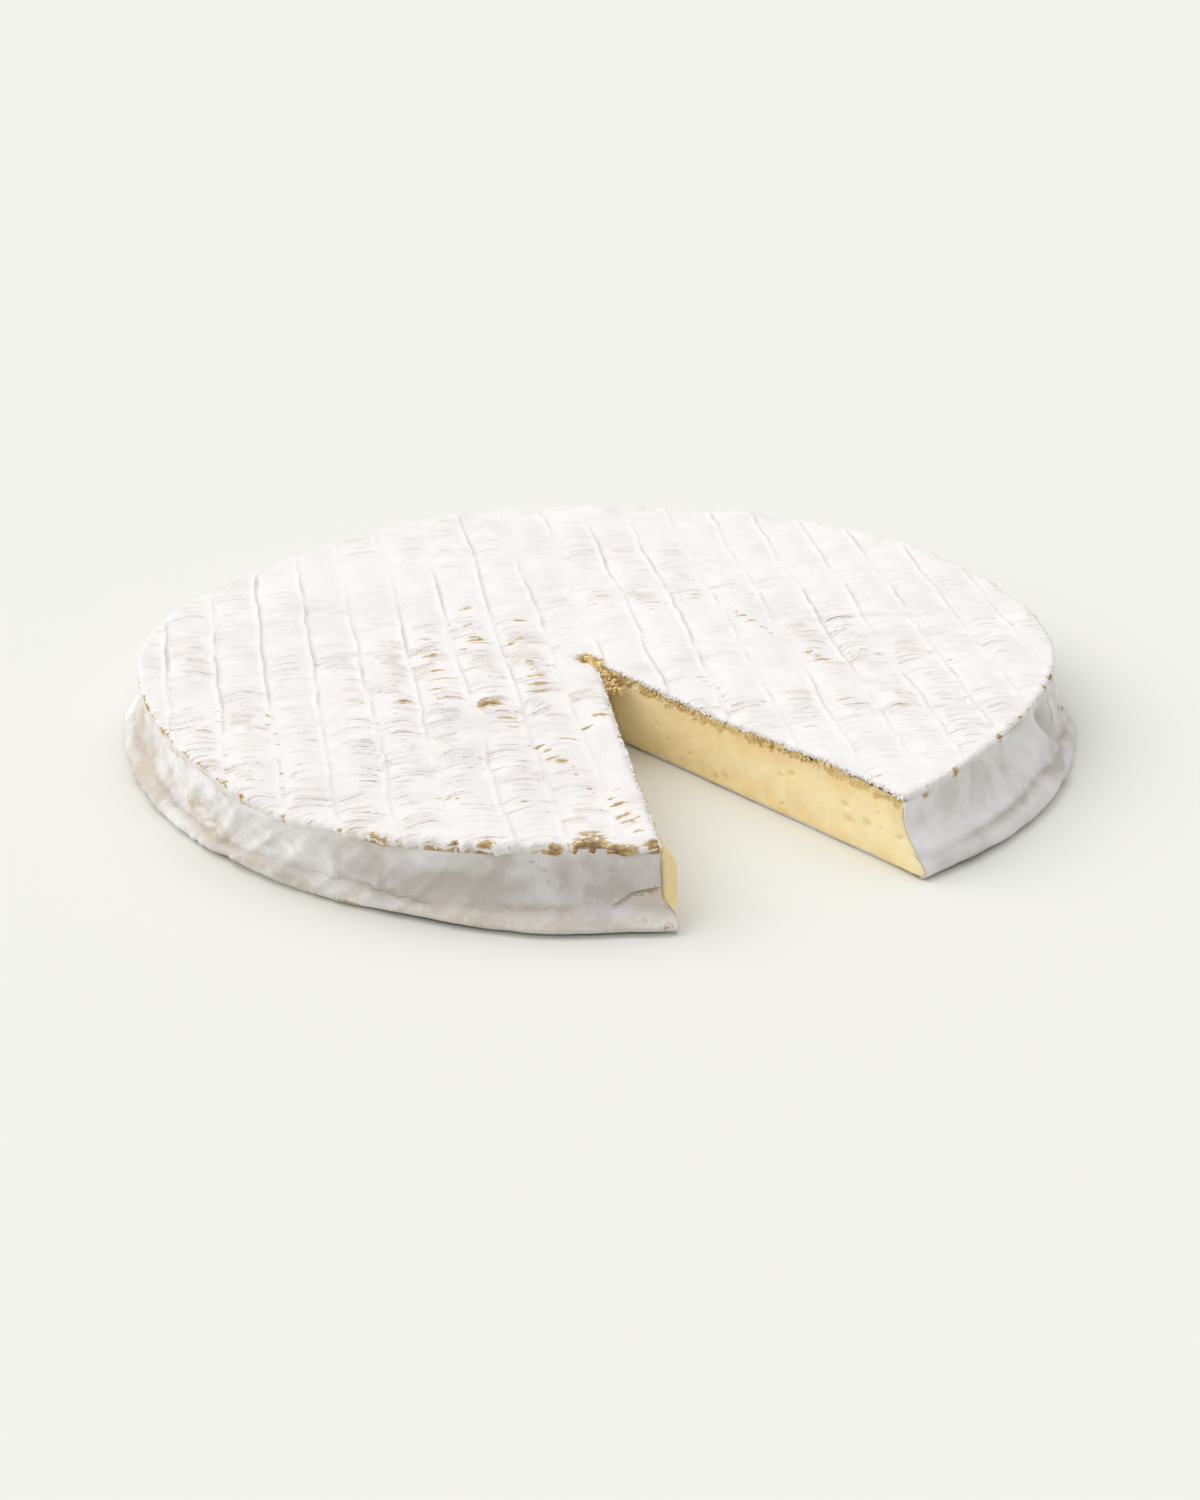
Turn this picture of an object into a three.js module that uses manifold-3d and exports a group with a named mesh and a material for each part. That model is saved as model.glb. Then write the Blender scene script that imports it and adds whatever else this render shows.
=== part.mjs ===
// A large, flat wheel of soft cheese with a white mould rind, and one wedge already cut out of it.
// It is one solid: the paste and the rind that grew on it are never apart.
//
// Millimetres, +Z up. The origin is at the middle of the underside's box, the wheel rests on z = 0,
// and -Y points out through the middle of the cut.
import * as THREE from "three";
import { mergeVertices } from "three/addons/utils/BufferGeometryUtils.js";
import Module from "manifold-3d";

// ---- Driving dimensions ----

const HEIGHT = 29; // mean height of the top face
const RIM_RADIUS = 179; // mean radius of the top edge
const FOOT_RADIUS = 186; // mean radius of the foot, where the soft side has slumped outwards
const WAIST_INSET = 2.5; // how far the side draws in below the top edge
const EDGE_ROUNDING = 4.5; // the soft top edge

const FOOT_UNDERCUT = 3; // how far the foot curls in to the underside
const FOOT_CREST = 2.5; // height where the foot is widest
const FOOT_BAND = 6.5; // height where the foot's band ends
const WAIST_LOW = 12; // the waist runs from here up to WAIST_HIGH
const WAIST_HIGH = 19;

const CUT_HALF_ANGLE = THREE.MathUtils.degToRad(16.6); // half the opening of the missing wedge
const CUT_POINT = new THREE.Vector2(-7, -10.2); // where the two knife cuts meet
const CUT_BULGE = 1.2; // how far the soft paste leans into the cut at mid height

const MAT_PITCH = 18.7; // spacing of the ribs that the draining mat's stitching left
const MAT_ANGLE = THREE.MathUtils.degToRad(-15.4); // direction across those ribs
const MAT_OFFSET = -1; // the rib nearest the middle, measured across the ribs
const RIB_WIDTH = 3;
const RIB_HEIGHT = 0.7;
const RIB_ROOT = 2; // how deep a rib reaches into the top face
const RIB_FLANK = 0.5; // how far below the top face a rib's long edges lie
const RIB_END_GAP = 4; // what a rib stops short of the rounded edge

const SEGMENTS = 72; // round the wheel
const SIDE_STEPS = 9; // up the side
const TOP_RINGS = 5; // from the edge to the middle of the top
const RIB_STEP = 40; // longest straight stretch of a rib
const CUT_STEPS = 10; // up the cut faces
const CUT_OVERRUN = 6; // what the missing wedge runs past the top and the underside
const CUT_LENGTH = 1.3 * FOOT_RADIUS; // past the outline
const MERGE_DISTANCE = 0.001;

// The outline isn't a true circle. Each lobe is [lobes round the wheel, size, angle of its crest].
const RIM_LOBES = [
  [1, 1.7, 107],
  [2, 5.6, 21],
  [3, 1.2, 9],
  [5, 1.4, -7],
  [6, 1.4, -27],
];
const FOOT_LOBES = [
  [1, 1, 118],
  [3, 0.8, 2],
  [4, 0.8, -33],
];
// Slow swells of the top face: [wavelength, size, direction, shift].
const TOP_SWELLS = [
  [210, 0.7, 20, 0.4],
  [128, 0.5, 105, 1.9],
  [86, 0.3, 62, 3.1],
];

// ---- The wheel before it is cut ----

function lobed(lobes, angle) {
  let radius = 0;
  for (const [count, size, crest] of lobes) {
    radius += size * Math.cos(count * (angle - THREE.MathUtils.degToRad(crest)));
  }
  return radius;
}

function swell(x, y) {
  let height = 0;
  for (const [length, size, direction, shift] of TOP_SWELLS) {
    const turn = THREE.MathUtils.degToRad(direction);
    const along = x * Math.cos(turn) + y * Math.sin(turn);
    height += size * Math.sin((2 * Math.PI * along) / length + shift);
  }
  return height;
}

function rimRadius(angle) {
  return RIM_RADIUS + lobed(RIM_LOBES, angle);
}

// Half of the wheel's section, as (radius, height) from the middle of the underside, round the foot,
// up the side and back over the top face to the middle.
function section() {
  const waist = RIM_RADIUS - WAIST_INSET;
  const side = new THREE.SplineCurve([
    new THREE.Vector2(FOOT_RADIUS - FOOT_UNDERCUT, 0),
    new THREE.Vector2(FOOT_RADIUS, FOOT_CREST),
    new THREE.Vector2(FOOT_RADIUS - FOOT_UNDERCUT / 2, FOOT_BAND),
    new THREE.Vector2(waist + WAIST_INSET / 2, WAIST_LOW),
    new THREE.Vector2(waist, WAIST_HIGH),
    new THREE.Vector2(RIM_RADIUS - EDGE_ROUNDING / 8, HEIGHT - 0.8 * EDGE_ROUNDING),
    new THREE.Vector2(RIM_RADIUS - EDGE_ROUNDING, HEIGHT),
  ]);
  const points = [new THREE.Vector2(0, 0), ...side.getPoints(SIDE_STEPS)];
  const topStart = RIM_RADIUS - EDGE_ROUNDING;
  for (let ring = 1; ring <= TOP_RINGS; ring++) {
    points.push(new THREE.Vector2(topStart * (1 - ring / TOP_RINGS), HEIGHT));
  }
  return points;
}

function wheelBlank() {
  const turned = new THREE.LatheGeometry(section(), SEGMENTS);
  turned.rotateX(Math.PI / 2);
  const place = turned.getAttribute("position");
  const point = new THREE.Vector3();
  for (let i = 0; i < place.count; i++) {
    point.fromBufferAttribute(place, i);
    const radius = Math.hypot(point.x, point.y);
    const angle = Math.atan2(point.y, point.x);
    const upSide = THREE.MathUtils.smoothstep(point.z, FOOT_CREST, HEIGHT - EDGE_ROUNDING);
    const pushed = THREE.MathUtils.lerp(
      lobed(FOOT_LOBES, angle),
      lobed(RIM_LOBES, angle),
      upSide,
    );
    const grown = radius + pushed * (radius / RIM_RADIUS) ** 2;
    const scale = radius > 0 ? grown / radius : 1;
    point.x *= scale;
    point.y *= scale;
    point.z += upSide * swell(point.x, point.y);
    place.setXYZ(i, point.x, point.y, point.z);
  }
  return turned;
}

// ---- The ribs pressed into the top by the stitching of the straw mat ----

// A rib is a long plank bent over the top face, with a raised line down its middle.
function matRib(across) {
  const reach = rimRadius(MAT_ANGLE + (across < 0 ? Math.PI : 0)) - EDGE_ROUNDING;
  if (Math.abs(across) > reach - 2 * RIB_END_GAP) return null;
  const halfAngle = Math.acos(across / reach);
  const ends = [1, -1].map((way) => {
    const edge = rimRadius(MAT_ANGLE + way * halfAngle) * Math.sin(halfAngle);
    return way * (edge - EDGE_ROUNDING - RIB_END_GAP);
  });
  const length = ends[0] - ends[1];
  const steps = Math.max(2, Math.round(length / RIB_STEP));
  const plank = new THREE.BoxGeometry(RIB_WIDTH, length, RIB_ROOT, 2, steps, 1);
  plank.translate(across, (ends[0] + ends[1]) / 2, 0);
  plank.rotateZ(MAT_ANGLE);
  const place = plank.getAttribute("position");
  for (let i = 0; i < place.count; i++) {
    const x = place.getX(i);
    const y = place.getY(i);
    const off = x * Math.cos(MAT_ANGLE) + y * Math.sin(MAT_ANGLE) - across;
    const onCrest = Math.abs(off) < RIB_WIDTH / 4;
    let lift = -RIB_ROOT;
    if (place.getZ(i) > 0) lift = onCrest ? RIB_HEIGHT : -RIB_FLANK;
    place.setZ(i, HEIGHT + swell(x, y) + lift);
  }
  return plank;
}

function matRibs() {
  const ribs = [];
  const mostRibs = Math.ceil(RIM_RADIUS / MAT_PITCH);
  for (let n = -mostRibs; n <= mostRibs; n++) {
    const rib = matRib(MAT_OFFSET + n * MAT_PITCH);
    if (rib) ribs.push(rib);
  }
  return ribs;
}

// ---- The missing wedge ----

// The wedge's sides draw in at mid height, which leaves the paste bulging into the gap.
function missingWedge() {
  const halfWidth = CUT_LENGTH * Math.tan(CUT_HALF_ANGLE);
  const outline = new THREE.Shape([
    new THREE.Vector2(0, 0),
    new THREE.Vector2(-halfWidth, -CUT_LENGTH),
    new THREE.Vector2(halfWidth, -CUT_LENGTH),
  ]);
  const wedge = new THREE.ExtrudeGeometry(outline, {
    depth: HEIGHT + 2 * CUT_OVERRUN,
    steps: CUT_STEPS,
    bevelEnabled: false,
  });
  wedge.translate(CUT_POINT.x, CUT_POINT.y, -CUT_OVERRUN);
  const place = wedge.getAttribute("position");
  for (let i = 0; i < place.count; i++) {
    const fromMiddle = place.getZ(i) / (HEIGHT / 2) - 1;
    const bulge = CUT_BULGE * Math.max(0, 1 - fromMiddle ** 2);
    place.setY(i, place.getY(i) - bulge / Math.sin(CUT_HALF_ANGLE));
  }
  return wedge;
}

// ---- Joining and cutting ----

const manifold = await Module();
manifold.setup();

function toSolid(geometry) {
  const bare = geometry.clone();
  bare.deleteAttribute("normal");
  bare.deleteAttribute("uv");
  const merged = mergeVertices(bare, MERGE_DISTANCE);
  return new manifold.Manifold(
    new manifold.Mesh({
      numProp: 3,
      vertProperties: new Float32Array(merged.getAttribute("position").array),
      triVerts: new Uint32Array(merged.index.array),
    }),
  );
}

function toGeometry(solid) {
  const mesh = solid.getMesh();
  const geometry = new THREE.BufferGeometry();
  geometry.setAttribute("position", new THREE.BufferAttribute(mesh.vertProperties, 3));
  geometry.setIndex(new THREE.BufferAttribute(mesh.triVerts, 1));
  return geometry;
}

function cheeseWheel() {
  let solid = toSolid(wheelBlank());
  for (const rib of matRibs()) {
    solid = solid.add(toSolid(rib));
  }
  solid = solid.subtract(toSolid(missingWedge()));
  const geometry = toGeometry(solid);
  geometry.computeBoundingBox();
  const middle = geometry.boundingBox.getCenter(new THREE.Vector3());
  geometry.translate(-middle.x, -middle.y, -geometry.boundingBox.min.z);
  geometry.computeVertexNormals();
  return geometry;
}

const rind = new THREE.MeshStandardMaterial({ color: 0xf1edea, roughness: 0.9, metalness: 0 });
const wheel = new THREE.Mesh(cheeseWheel(), rind);
wheel.name = "cheese_wheel";

const cheese = new THREE.Group();
cheese.add(wheel);

export default cheese;
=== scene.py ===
import math

import bmesh
import bpy
import numpy as np
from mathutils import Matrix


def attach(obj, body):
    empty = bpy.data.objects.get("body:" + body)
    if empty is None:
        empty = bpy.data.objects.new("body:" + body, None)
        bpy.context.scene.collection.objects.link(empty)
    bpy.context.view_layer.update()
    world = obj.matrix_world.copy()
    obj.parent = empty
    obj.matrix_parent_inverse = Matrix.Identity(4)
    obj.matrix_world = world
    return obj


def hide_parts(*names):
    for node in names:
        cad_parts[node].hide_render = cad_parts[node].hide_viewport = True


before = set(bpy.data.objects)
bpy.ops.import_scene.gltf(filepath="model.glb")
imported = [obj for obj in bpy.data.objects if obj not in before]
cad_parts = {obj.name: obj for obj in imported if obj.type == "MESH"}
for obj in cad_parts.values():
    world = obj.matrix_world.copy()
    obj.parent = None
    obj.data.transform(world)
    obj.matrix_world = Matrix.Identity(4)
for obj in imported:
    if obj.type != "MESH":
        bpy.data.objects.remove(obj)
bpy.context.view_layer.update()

# ======== The top rind ========
# A felt of white mould on the firm skin of the cheese, one soft sheet over the whole top of the wheel.
# The straw mat that the curd drained on printed it: stitch ribs, and fine straw marks between them.
# Where the mould is thin, the tan skin shows in the creases and along the rim.

MM = 0.001
wheel_middle = (-0.35, -3.92)  # mm, the axis that the wheel was turned about
top_height = 29.0
rim_radius = 179.0
rim_lobes = [(1, 1.7, 107), (2, 5.6, 21), (3, 1.2, 9), (5, 1.4, -7), (6, 1.4, -27)]
top_swells = [(210, 0.7, 20, 0.4), (128, 0.5, 105, 1.9), (86, 0.3, 62, 3.1)]

cut_point = (-7.35, -14.12)  # where the two knife cuts meet
cut_half_angle = math.radians(16.6)
cut_middle_angle = math.radians(-90)

rib_pitch = 18.7  # between the mat's lines of stitching
rib_start = -1.0
mat_turn = math.radians(-15.4)  # direction across the ribs


def drift(x, y, size, seed):
    """Smooth uneven values from -1 to 1, in lumps about size across."""
    lattice = np.random.default_rng(seed).uniform(-1, 1, (128, 128))
    gx, gy = x / size + 57.3, y / size + 31.7
    ix, iy = np.floor(gx).astype(int), np.floor(gy).astype(int)
    fx, fy = gx - ix, gy - iy
    fx = fx ** 3 * (fx * (fx * 6 - 15) + 10)
    fy = fy ** 3 * (fy * (fy * 6 - 15) + 10)
    near = lattice[ix % 128, iy % 128] * (1 - fx) + lattice[(ix + 1) % 128, iy % 128] * fx
    far = lattice[ix % 128, (iy + 1) % 128] * (1 - fx) + lattice[(ix + 1) % 128, (iy + 1) % 128] * fx
    return near * (1 - fy) + far * fy


def uneven(x, y, *lumps):
    """Drift in several sizes added up, each given as amount, size and seed."""
    return sum(amount * drift(x, y, size, seed) for amount, size, seed in lumps)


def chance(row, step, seed):
    """A number from 0 to 1 that belongs to one mark of the mat."""
    lattice = np.random.default_rng(seed).random((64, 256))
    return lattice[row.astype(int) % 64, step.astype(int) % 256]


def ease(low, high, value):
    """0 before low and 1 past high, smooth between them."""
    share = np.clip((value - low) / (high - low), 0, 1)
    return share * share * (3 - 2 * share)


def fade(value, middle, width):
    """1 at the middle, and next to nothing at twice the width from it."""
    return np.exp(-(((value - middle) / width) ** 2))


def turn_gap(turn, middle):
    """Degrees round the wheel from a middle, the short way."""
    return (turn - middle + 180) % 360 - 180


def dab(x, y, place, width, depth, turn=0.0):
    """A soft spot at a place, width by depth mm."""
    dx, dy = x - place[0], y - place[1]
    across = dx * math.cos(turn) + dy * math.sin(turn)
    along = -dx * math.sin(turn) + dy * math.cos(turn)
    return np.exp(-((across / width) ** 2) - (along / depth) ** 2)


def lobed(lobes, angle):
    return sum(size * np.cos(count * (angle - math.radians(crest))) for count, size, crest in lobes)


def polar(x, y):
    """Distance from the wheel's middle and angle round it."""
    dx, dy = x - wheel_middle[0], y - wheel_middle[1]
    return np.hypot(dx, dy), np.arctan2(dy, dx)


def rim_at(angle):
    return rim_radius + lobed(rim_lobes, angle)


def past_cut(x, y):
    """How far a point is inside the missing wedge, measured from each knife cut (right, left)."""
    dx, dy = x - cut_point[0], y - cut_point[1]
    ways = []
    for side in (1, -1):
        way = cut_middle_angle + side * cut_half_angle
        ways.append((dx * math.sin(way) - dy * math.cos(way)) * side)
    return ways


def past_outline(x, y):
    """Signed distance to the wheel's outline with its cut: below zero on the cheese."""
    radius, angle = polar(x, y)
    right, left = past_cut(x, y)
    return np.maximum(radius - rim_at(angle), np.minimum(right, left))


def swell(x, y):
    dx, dy = x - wheel_middle[0], y - wheel_middle[1]
    lie = 0.0
    for length, size, way, shift in top_swells:
        along = dx * math.cos(math.radians(way)) + dy * math.sin(math.radians(way))
        lie = lie + size * np.sin(2 * math.pi * along / length + shift)
    return lie


def mat_lie(x, y):
    """A place across the ribs and along them, from the wheel's middle."""
    dx, dy = x - wheel_middle[0], y - wheel_middle[1]
    across = dx * math.cos(mat_turn) + dy * math.sin(mat_turn)
    along = -dx * math.sin(mat_turn) + dy * math.cos(mat_turn)
    return across, along


def between_ribs(across):
    """Which gap between two ribs a place is in, and how far over that gap, from -1 to 1."""
    ribs = (across - rib_start) / rib_pitch
    panel = np.floor(ribs)
    return panel, 2 * (ribs - panel) - 1


def straw_arch(across, along):
    """How far a straw is bowed between two ribs."""
    _, beside = between_ribs(across)
    bow = 2.7 * (1 - beside * beside) + 1.1 * beside
    return bow + uneven(across, along, (2.0, 18, 6), (0.6, 6, 7))


straw_zones = [  # across, along, width, depth, strength: where the straws printed deepest
    (-100, -60, 75, 80, 0.95),
    (-40, -20, 32, 75, 0.72),
    (28, -20, 34, 55, 0.4),
    (75, -25, 45, 60, 0.5),
    (105, -80, 40, 35, 0.35),
    (35, 40, 60, 30, 0.3),
]
wrinkles = [  # start, end, height, width: folds of the felt that cross the ribs
    ((88, -4), (118, -12), 0.6, 2.6),
    ((112, -8), (140, -22), 0.6, 2.4),
    ((92, -20), (120, -34), 0.55, 2.8),
    ((82, 4), (104, 2), 0.35, 2.4),
    ((-106, -48), (-88, -34), 0.4, 3.0),
    ((-90, -98), (-70, -90), 0.45, 3.0),
    ((-54, -136), (-34, -124), 0.4, 2.8),
    ((56, -98), (80, -104), 0.35, 2.6),
]
hollows = [  # x, y, width, depth, drop: soft low places
    (-64, -50, 16, 8, 0.8),
    (-50, -95, 14, 17, 0.9),
    (-62, -120, 15, 12, 0.6),
    (-38, 6, 8, 14, 0.5),
    (-20, 10, 16, 8, 0.4),
    (2, -3, 12, 6, 0.5),
    (92, -110, 18, 10, 0.6),
    (105, -62, 14, 16, 0.5),
    (-100, -128, 14, 8, 0.5),
    (-30, -80, 9, 7, 0.4),
]


def mat_print(x, y):
    """The marks that the mat pressed into a face.

    They are the height, the creases, the count of straws along the mat and how well each printed, the
    distance from the nearest rib and how strong that rib is.
    """
    across, along = mat_lie(x, y)
    row = np.round((across - rib_start) / rib_pitch)
    wander = uneven(along, row * 37, (1.1, 31, 1), (0.5, 9, 2))
    off = across - rib_start - row * rib_pitch - wander
    strength = 0.66 + uneven(along, row * 53, (0.7, 44, 3), (0.45, 13, 2))
    strength = np.clip(strength, 0.1, 1.2)
    strength = strength * (0.5 + 0.5 * ease(-110, 0, along))
    thread = 1 + 0.3 * drift(along, row * 19, 2.6, 4)
    sunk = ease(-0.1, 0.7, drift(along, row * 71, 22, 61))
    rib = 0.68 * strength * thread * fade(off, 0, 0.75)
    rib = rib - (0.1 + 0.5 * sunk) * strength * fade(off, 1.5, 0.7)
    rib = rib - 0.1 * strength * fade(off, -1.8, 0.9)
    pillow = -0.2 * np.cos(2 * math.pi * off / rib_pitch)

    panel, beside = between_ribs(across)
    spacing = 4.4 + 2.0 * chance(panel, 0 * panel, 5)
    count_along = (along - straw_arch(across, along)) / spacing
    straw = np.round(count_along)
    shift = chance(panel, straw, 14) - 0.5
    from_straw = 2 * (count_along - straw) - 0.5 * shift
    length = 0.4 + 0.65 * chance(panel, straw, 8)
    centre = 1.1 * chance(panel, straw, 9) - 0.55
    reach = ease(0, 0.4, length - np.abs(beside - centre))
    zone = 0.22 + 0 * across
    for *middle, width, depth, amount in straw_zones:
        zone = zone + amount * dab(across, along, middle, width, depth)
    zone = zone * np.clip(0.8 + 1.0 * drift(across, along, 26, 10), 0.12, 1.5)
    reach = reach * ease(0, 0.15, 1 - np.abs(beside))
    pressed = chance(panel, straw, 11)
    size = 1.1 * zone * (0.12 + 0.88 * pressed) * reach
    step = count_along - 0.25 * shift
    lined = reach * np.clip(zone * (0.3 + 1.2 * pressed), 0, 1)
    near_lip = np.where(from_straw < 0, (1 + from_straw) * ease(0, 0.42, -from_straw), 0)
    far_lip = np.where(from_straw > 0, (1 - from_straw) * ease(0, 0.5, from_straw), 0)
    crease = fade(from_straw, 0, 0.2) * (np.abs(from_straw) < 1)
    straw_marks = size * (1.3 * np.clip(near_lip, 0, 1) + 0.35 * np.clip(far_lip, 0, 1) - 0.6 * crease)

    grain = 0.12 * drift(across * 0.6, along, 4.5, 12) + 0.05 * drift(across, along, 2.2, 13)
    height = rib + pillow + straw_marks + grain
    ribbed = strength * ease(0.2, 0.9, strength) * ease(4, 2.5, np.abs(off))
    return height, crease * reach * np.clip(zone, 0, 1), step, lined, off, ribbed


def felt_lie(x, y):
    """Wrinkles and low places of the felt, which have nothing to do with the mat."""
    lie = uneven(x, y, (0.5, 34, 22), (0.34, 12, 23))
    for start, end, rise, width in wrinkles:
        dx, dy = end[0] - start[0], end[1] - start[1]
        long = math.hypot(dx, dy)
        share = ((x - start[0]) * dx + (y - start[1]) * dy) / long ** 2
        off = ((x - start[0]) * dy - (y - start[1]) * dx) / long + 3.4 * drift(share * long, 0 * x, 9, 24)
        shown = ease(-0.1, 0.15, share) * ease(1.1, 0.85, share)
        fold = fade(off, 0, width) - 0.7 * fade(off, 1.7 * width, 0.7 * width)
        lie = lie + rise * shown * fold
    for px, py, width, depth, drop in hollows:
        lie = lie - drop * dab(x, y, (px, py), width, depth, mat_turn)
    return lie


skin_marks = [  # x, y, width, depth, strength: where the tan skin shows through
    (-60, -34, 5.5, 3.4, 1.15),
    (-58, -47, 4.0, 1.8, 0.8),
    (-60, -55, 3.6, 1.3, 0.75),
    (-30, 19, 3.2, 2.2, 0.9),
    (-24, 21, 4.0, 1.0, 0.7),
    (-16, 42, 2.0, 1.1, 1.2),
    (-31, 63, 4.0, 1.1, 0.65),
    (-41, 29, 5.0, 1.6, 0.9),
    (-48, 21, 1.6, 2.6, 0.85),
    (-57, 37, 4.5, 1.0, 0.6),
    (-63, 28, 3.2, 1.6, 0.85),
    (-64, 20, 3.4, 1.2, 0.8),
    (-67, 5, 2.6, 1.4, 0.95),
    (-66, -4, 6.5, 0.9, 0.8),
    (-73, -13, 3.0, 1.2, 0.75),
    (-73, -23, 6.5, 1.3, 0.85),
    (-88, -21, 3.8, 1.7, 0.9),
    (-89, -8, 7.5, 1.1, 0.75),
    (-26, -60, 4.2, 2.0, 1.0),
    (-35, -67, 2.2, 1.0, 1.1),
    (-45, -74, 5.0, 0.8, 0.75),
    (-82, -120, 3.0, 0.9, 0.95),
    (-108, -105, 5.0, 1.3, 0.5),
    (-103, -108, 1.5, 0.9, 0.9),
    (-49, -123, 4.0, 1.0, 0.7),
    (-115, -50, 4.0, 0.9, 0.5),
    (-103, -14, 5.0, 0.9, 0.55),
    (-132, -34, 5.0, 0.9, 0.5),
    (-167, -18, 2.4, 1.0, 0.85),
    (-148, -10, 5.5, 1.3, 0.42),
    (-152, -24, 5.5, 1.3, 0.42),
    (24, 49, 4.0, 1.0, 0.65),
    (22, 39, 3.5, 1.0, 0.55),
    (36, 26, 3.5, 1.0, 0.6),
    (26, -8, 3.5, 1.0, 0.5),
    (61, 35, 3.2, 1.0, 0.55),
    (105, -11, 4.0, 1.4, 0.45),
    (128, -46, 5.0, 1.0, 0.45),
    (120, -68, 2.4, 1.0, 0.85),
    (79, -102, 2.4, 1.0, 0.7),
    (84, -125, 3.6, 1.0, 0.6),
    (104, -105, 1.4, 1.0, 0.6),
    (38, -154, 1.4, 1.0, 0.8),
]
skin_strings = [  # start, end, how many, width, strength: marks in a line down the mat
    ((-58, -78), (-56, -92), 4, 2.8, 0.85),
    ((-55, -99), (-57, -124), 4, 1.8, 1.0),
    ((-54, -129), (-57, -158), 5, 3.0, 1.0),
    ((-30, -4), (-37, -30), 5, 4.2, 0.72),
    ((66, 11), (69, -14), 5, 3.0, 0.85),
    ((73, -39), (75, -54), 4, 3.0, 0.85),
    ((-140, -13), (-160, -94), 10, 1.5, 0.9),
    ((-156, -4), (-159, -15), 2, 1.3, 0.85),
    ((-165, 29), (-182, -31), 13, 1.2, 0.6),
    ((-166, -44), (-172, -62), 4, 1.6, 0.8),
    ((-31, 63), (-41, 34), 4, 4.5, 0.5),
    ((22, -38), (24, -72), 6, 3.4, 0.5),
]


def bare_skin(x, y):
    """Where the mould is worn or thin and the skin shows, along the straws."""
    marks = list(skin_marks)
    luck = np.random.default_rng(3)
    for start, end, count, width, strength in skin_strings:
        for n in range(count):
            share = (n + luck.uniform(-0.25, 0.25)) / (count - 1)
            px = start[0] + (end[0] - start[0]) * share + luck.uniform(-0.8, 0.8)
            py = start[1] + (end[1] - start[1]) * share
            size = width * luck.uniform(0.55, 1.25)
            marks.append((px, py, size, 0.38 * size + 0.35, strength * luck.uniform(0.7, 1.15)))
    across, along = mat_lie(x, y)
    ragged_along = along - straw_arch(across, along) + 0.9 * drift(across, along, 2.6, 62)
    ragged_across = across + 1.5 * drift(across, along, 3.4, 63)
    shown = np.zeros_like(x)
    for px, py, width, depth, strength in marks:
        across, along = mat_lie(np.array([px]), np.array([py]))
        middle = (across[0], (along - straw_arch(across, along))[0])
        shown = np.maximum(shown, strength * dab(ragged_across, ragged_along, middle, width, depth))
    return shown


rim_wear = [  # angle, spread in degrees, strength: where the rim's edge is rubbed bare
    (-108.4, 1.0, 1.0),
    (-112.5, 1.4, 1.0),
    (-115.6, 2.0, 1.2),
    (-119.4, 0.8, 0.9),
    (-126.8, 0.9, 0.85),
    (-133.5, 2.5, 0.66),
    (-138.6, 1.3, 0.95),
    (-141.7, 0.8, 0.9),
    (-157.1, 0.7, 0.95),
    (-161, 2.5, 0.75),
    (-166, 2.5, 0.7),
    (-178, 1.2, 0.95),
    (174, 5.0, 0.95),
    (165, 3.0, 0.8),
    (-33.2, 1.0, 1.1),
    (-37.0, 0.8, 0.95),
    (-41.0, 0.6, 0.75),
    (-47.6, 0.7, 0.85),
    (-54.6, 0.9, 0.95),
    (-61.5, 0.6, 0.75),
    (-66.7, 0.9, 1.0),
    (8, 1.2, 0.7),
    (20, 1.5, 0.6),
    (29, 2.0, 0.6),
    (64, 2.0, 0.5),
    (96, 3.0, 0.5),
    (131, 2.5, 0.55),
]
torn_rim = [  # angle, in from the rim, width round, depth in, strength: torn down to the brown skin
    (-115.4, 4.2, 6.2, 6.0, 1.45),
    (-112.2, 1.0, 5.0, 2.0, 1.0),
    (-119.4, 0.8, 3.6, 1.2, 0.8),
    (-108.6, 2.4, 3.2, 2.2, 1.0),
    (-126.8, 2.4, 3.0, 1.5, 0.85),
    (-138.4, 1.2, 4.0, 1.5, 0.85),
    (-157.0, 1.0, 1.6, 1.2, 1.0),
    (-178.0, 1.2, 2.0, 1.4, 1.0),
    (-33.2, 0.9, 2.2, 1.5, 1.0),
    (-37.0, 0.9, 1.6, 1.2, 0.85),
    (-54.6, 1.6, 2.4, 1.0, 0.8),
    (-66.7, 0.9, 2.2, 1.0, 0.85),
]


def worn_rim(angle):
    """How much brown shows along the rim at an angle."""
    turn = np.degrees(angle)
    round_rim = angle * rim_radius
    rubbed = 0.26 + 0.28 * fade(turn, -128, 20) + 0.42 * fade(turn_gap(turn, -172), 0, 20)
    patchy = uneven(round_rim, 0 * angle, (0.3, 12, 25), (0.3, 2.6, 26))
    worn = rubbed * (0.85 + patchy)
    for middle, spread, strength in rim_wear:
        worn = np.maximum(worn, strength * fade(turn_gap(turn, middle), 0, spread))
    return worn


def places(piece):
    """The vertices' places in mm, one row each."""
    flat = np.empty(len(piece.data.vertices) * 3)
    piece.data.vertices.foreach_get("co", flat)
    return flat.reshape(-1, 3) / MM


def move_to(piece, spots):
    piece.data.vertices.foreach_set("co", (spots * MM).ravel())
    piece.data.update()


def pick(piece, chosen, kind="vertices"):
    """Edit mode with just these vertices, edges or polygons selected."""
    mesh = piece.data
    for name in ("vertices", "edges", "polygons"):
        part = getattr(mesh, name)
        part.foreach_set("select", chosen if name == kind else np.zeros(len(part), bool))
    modes = tuple(name == kind for name in ("vertices", "edges", "polygons"))
    bpy.context.tool_settings.mesh_select_mode = modes
    bpy.ops.object.mode_set(mode="EDIT")


def object_mode():
    bpy.ops.object.mode_set(mode="OBJECT")


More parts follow.
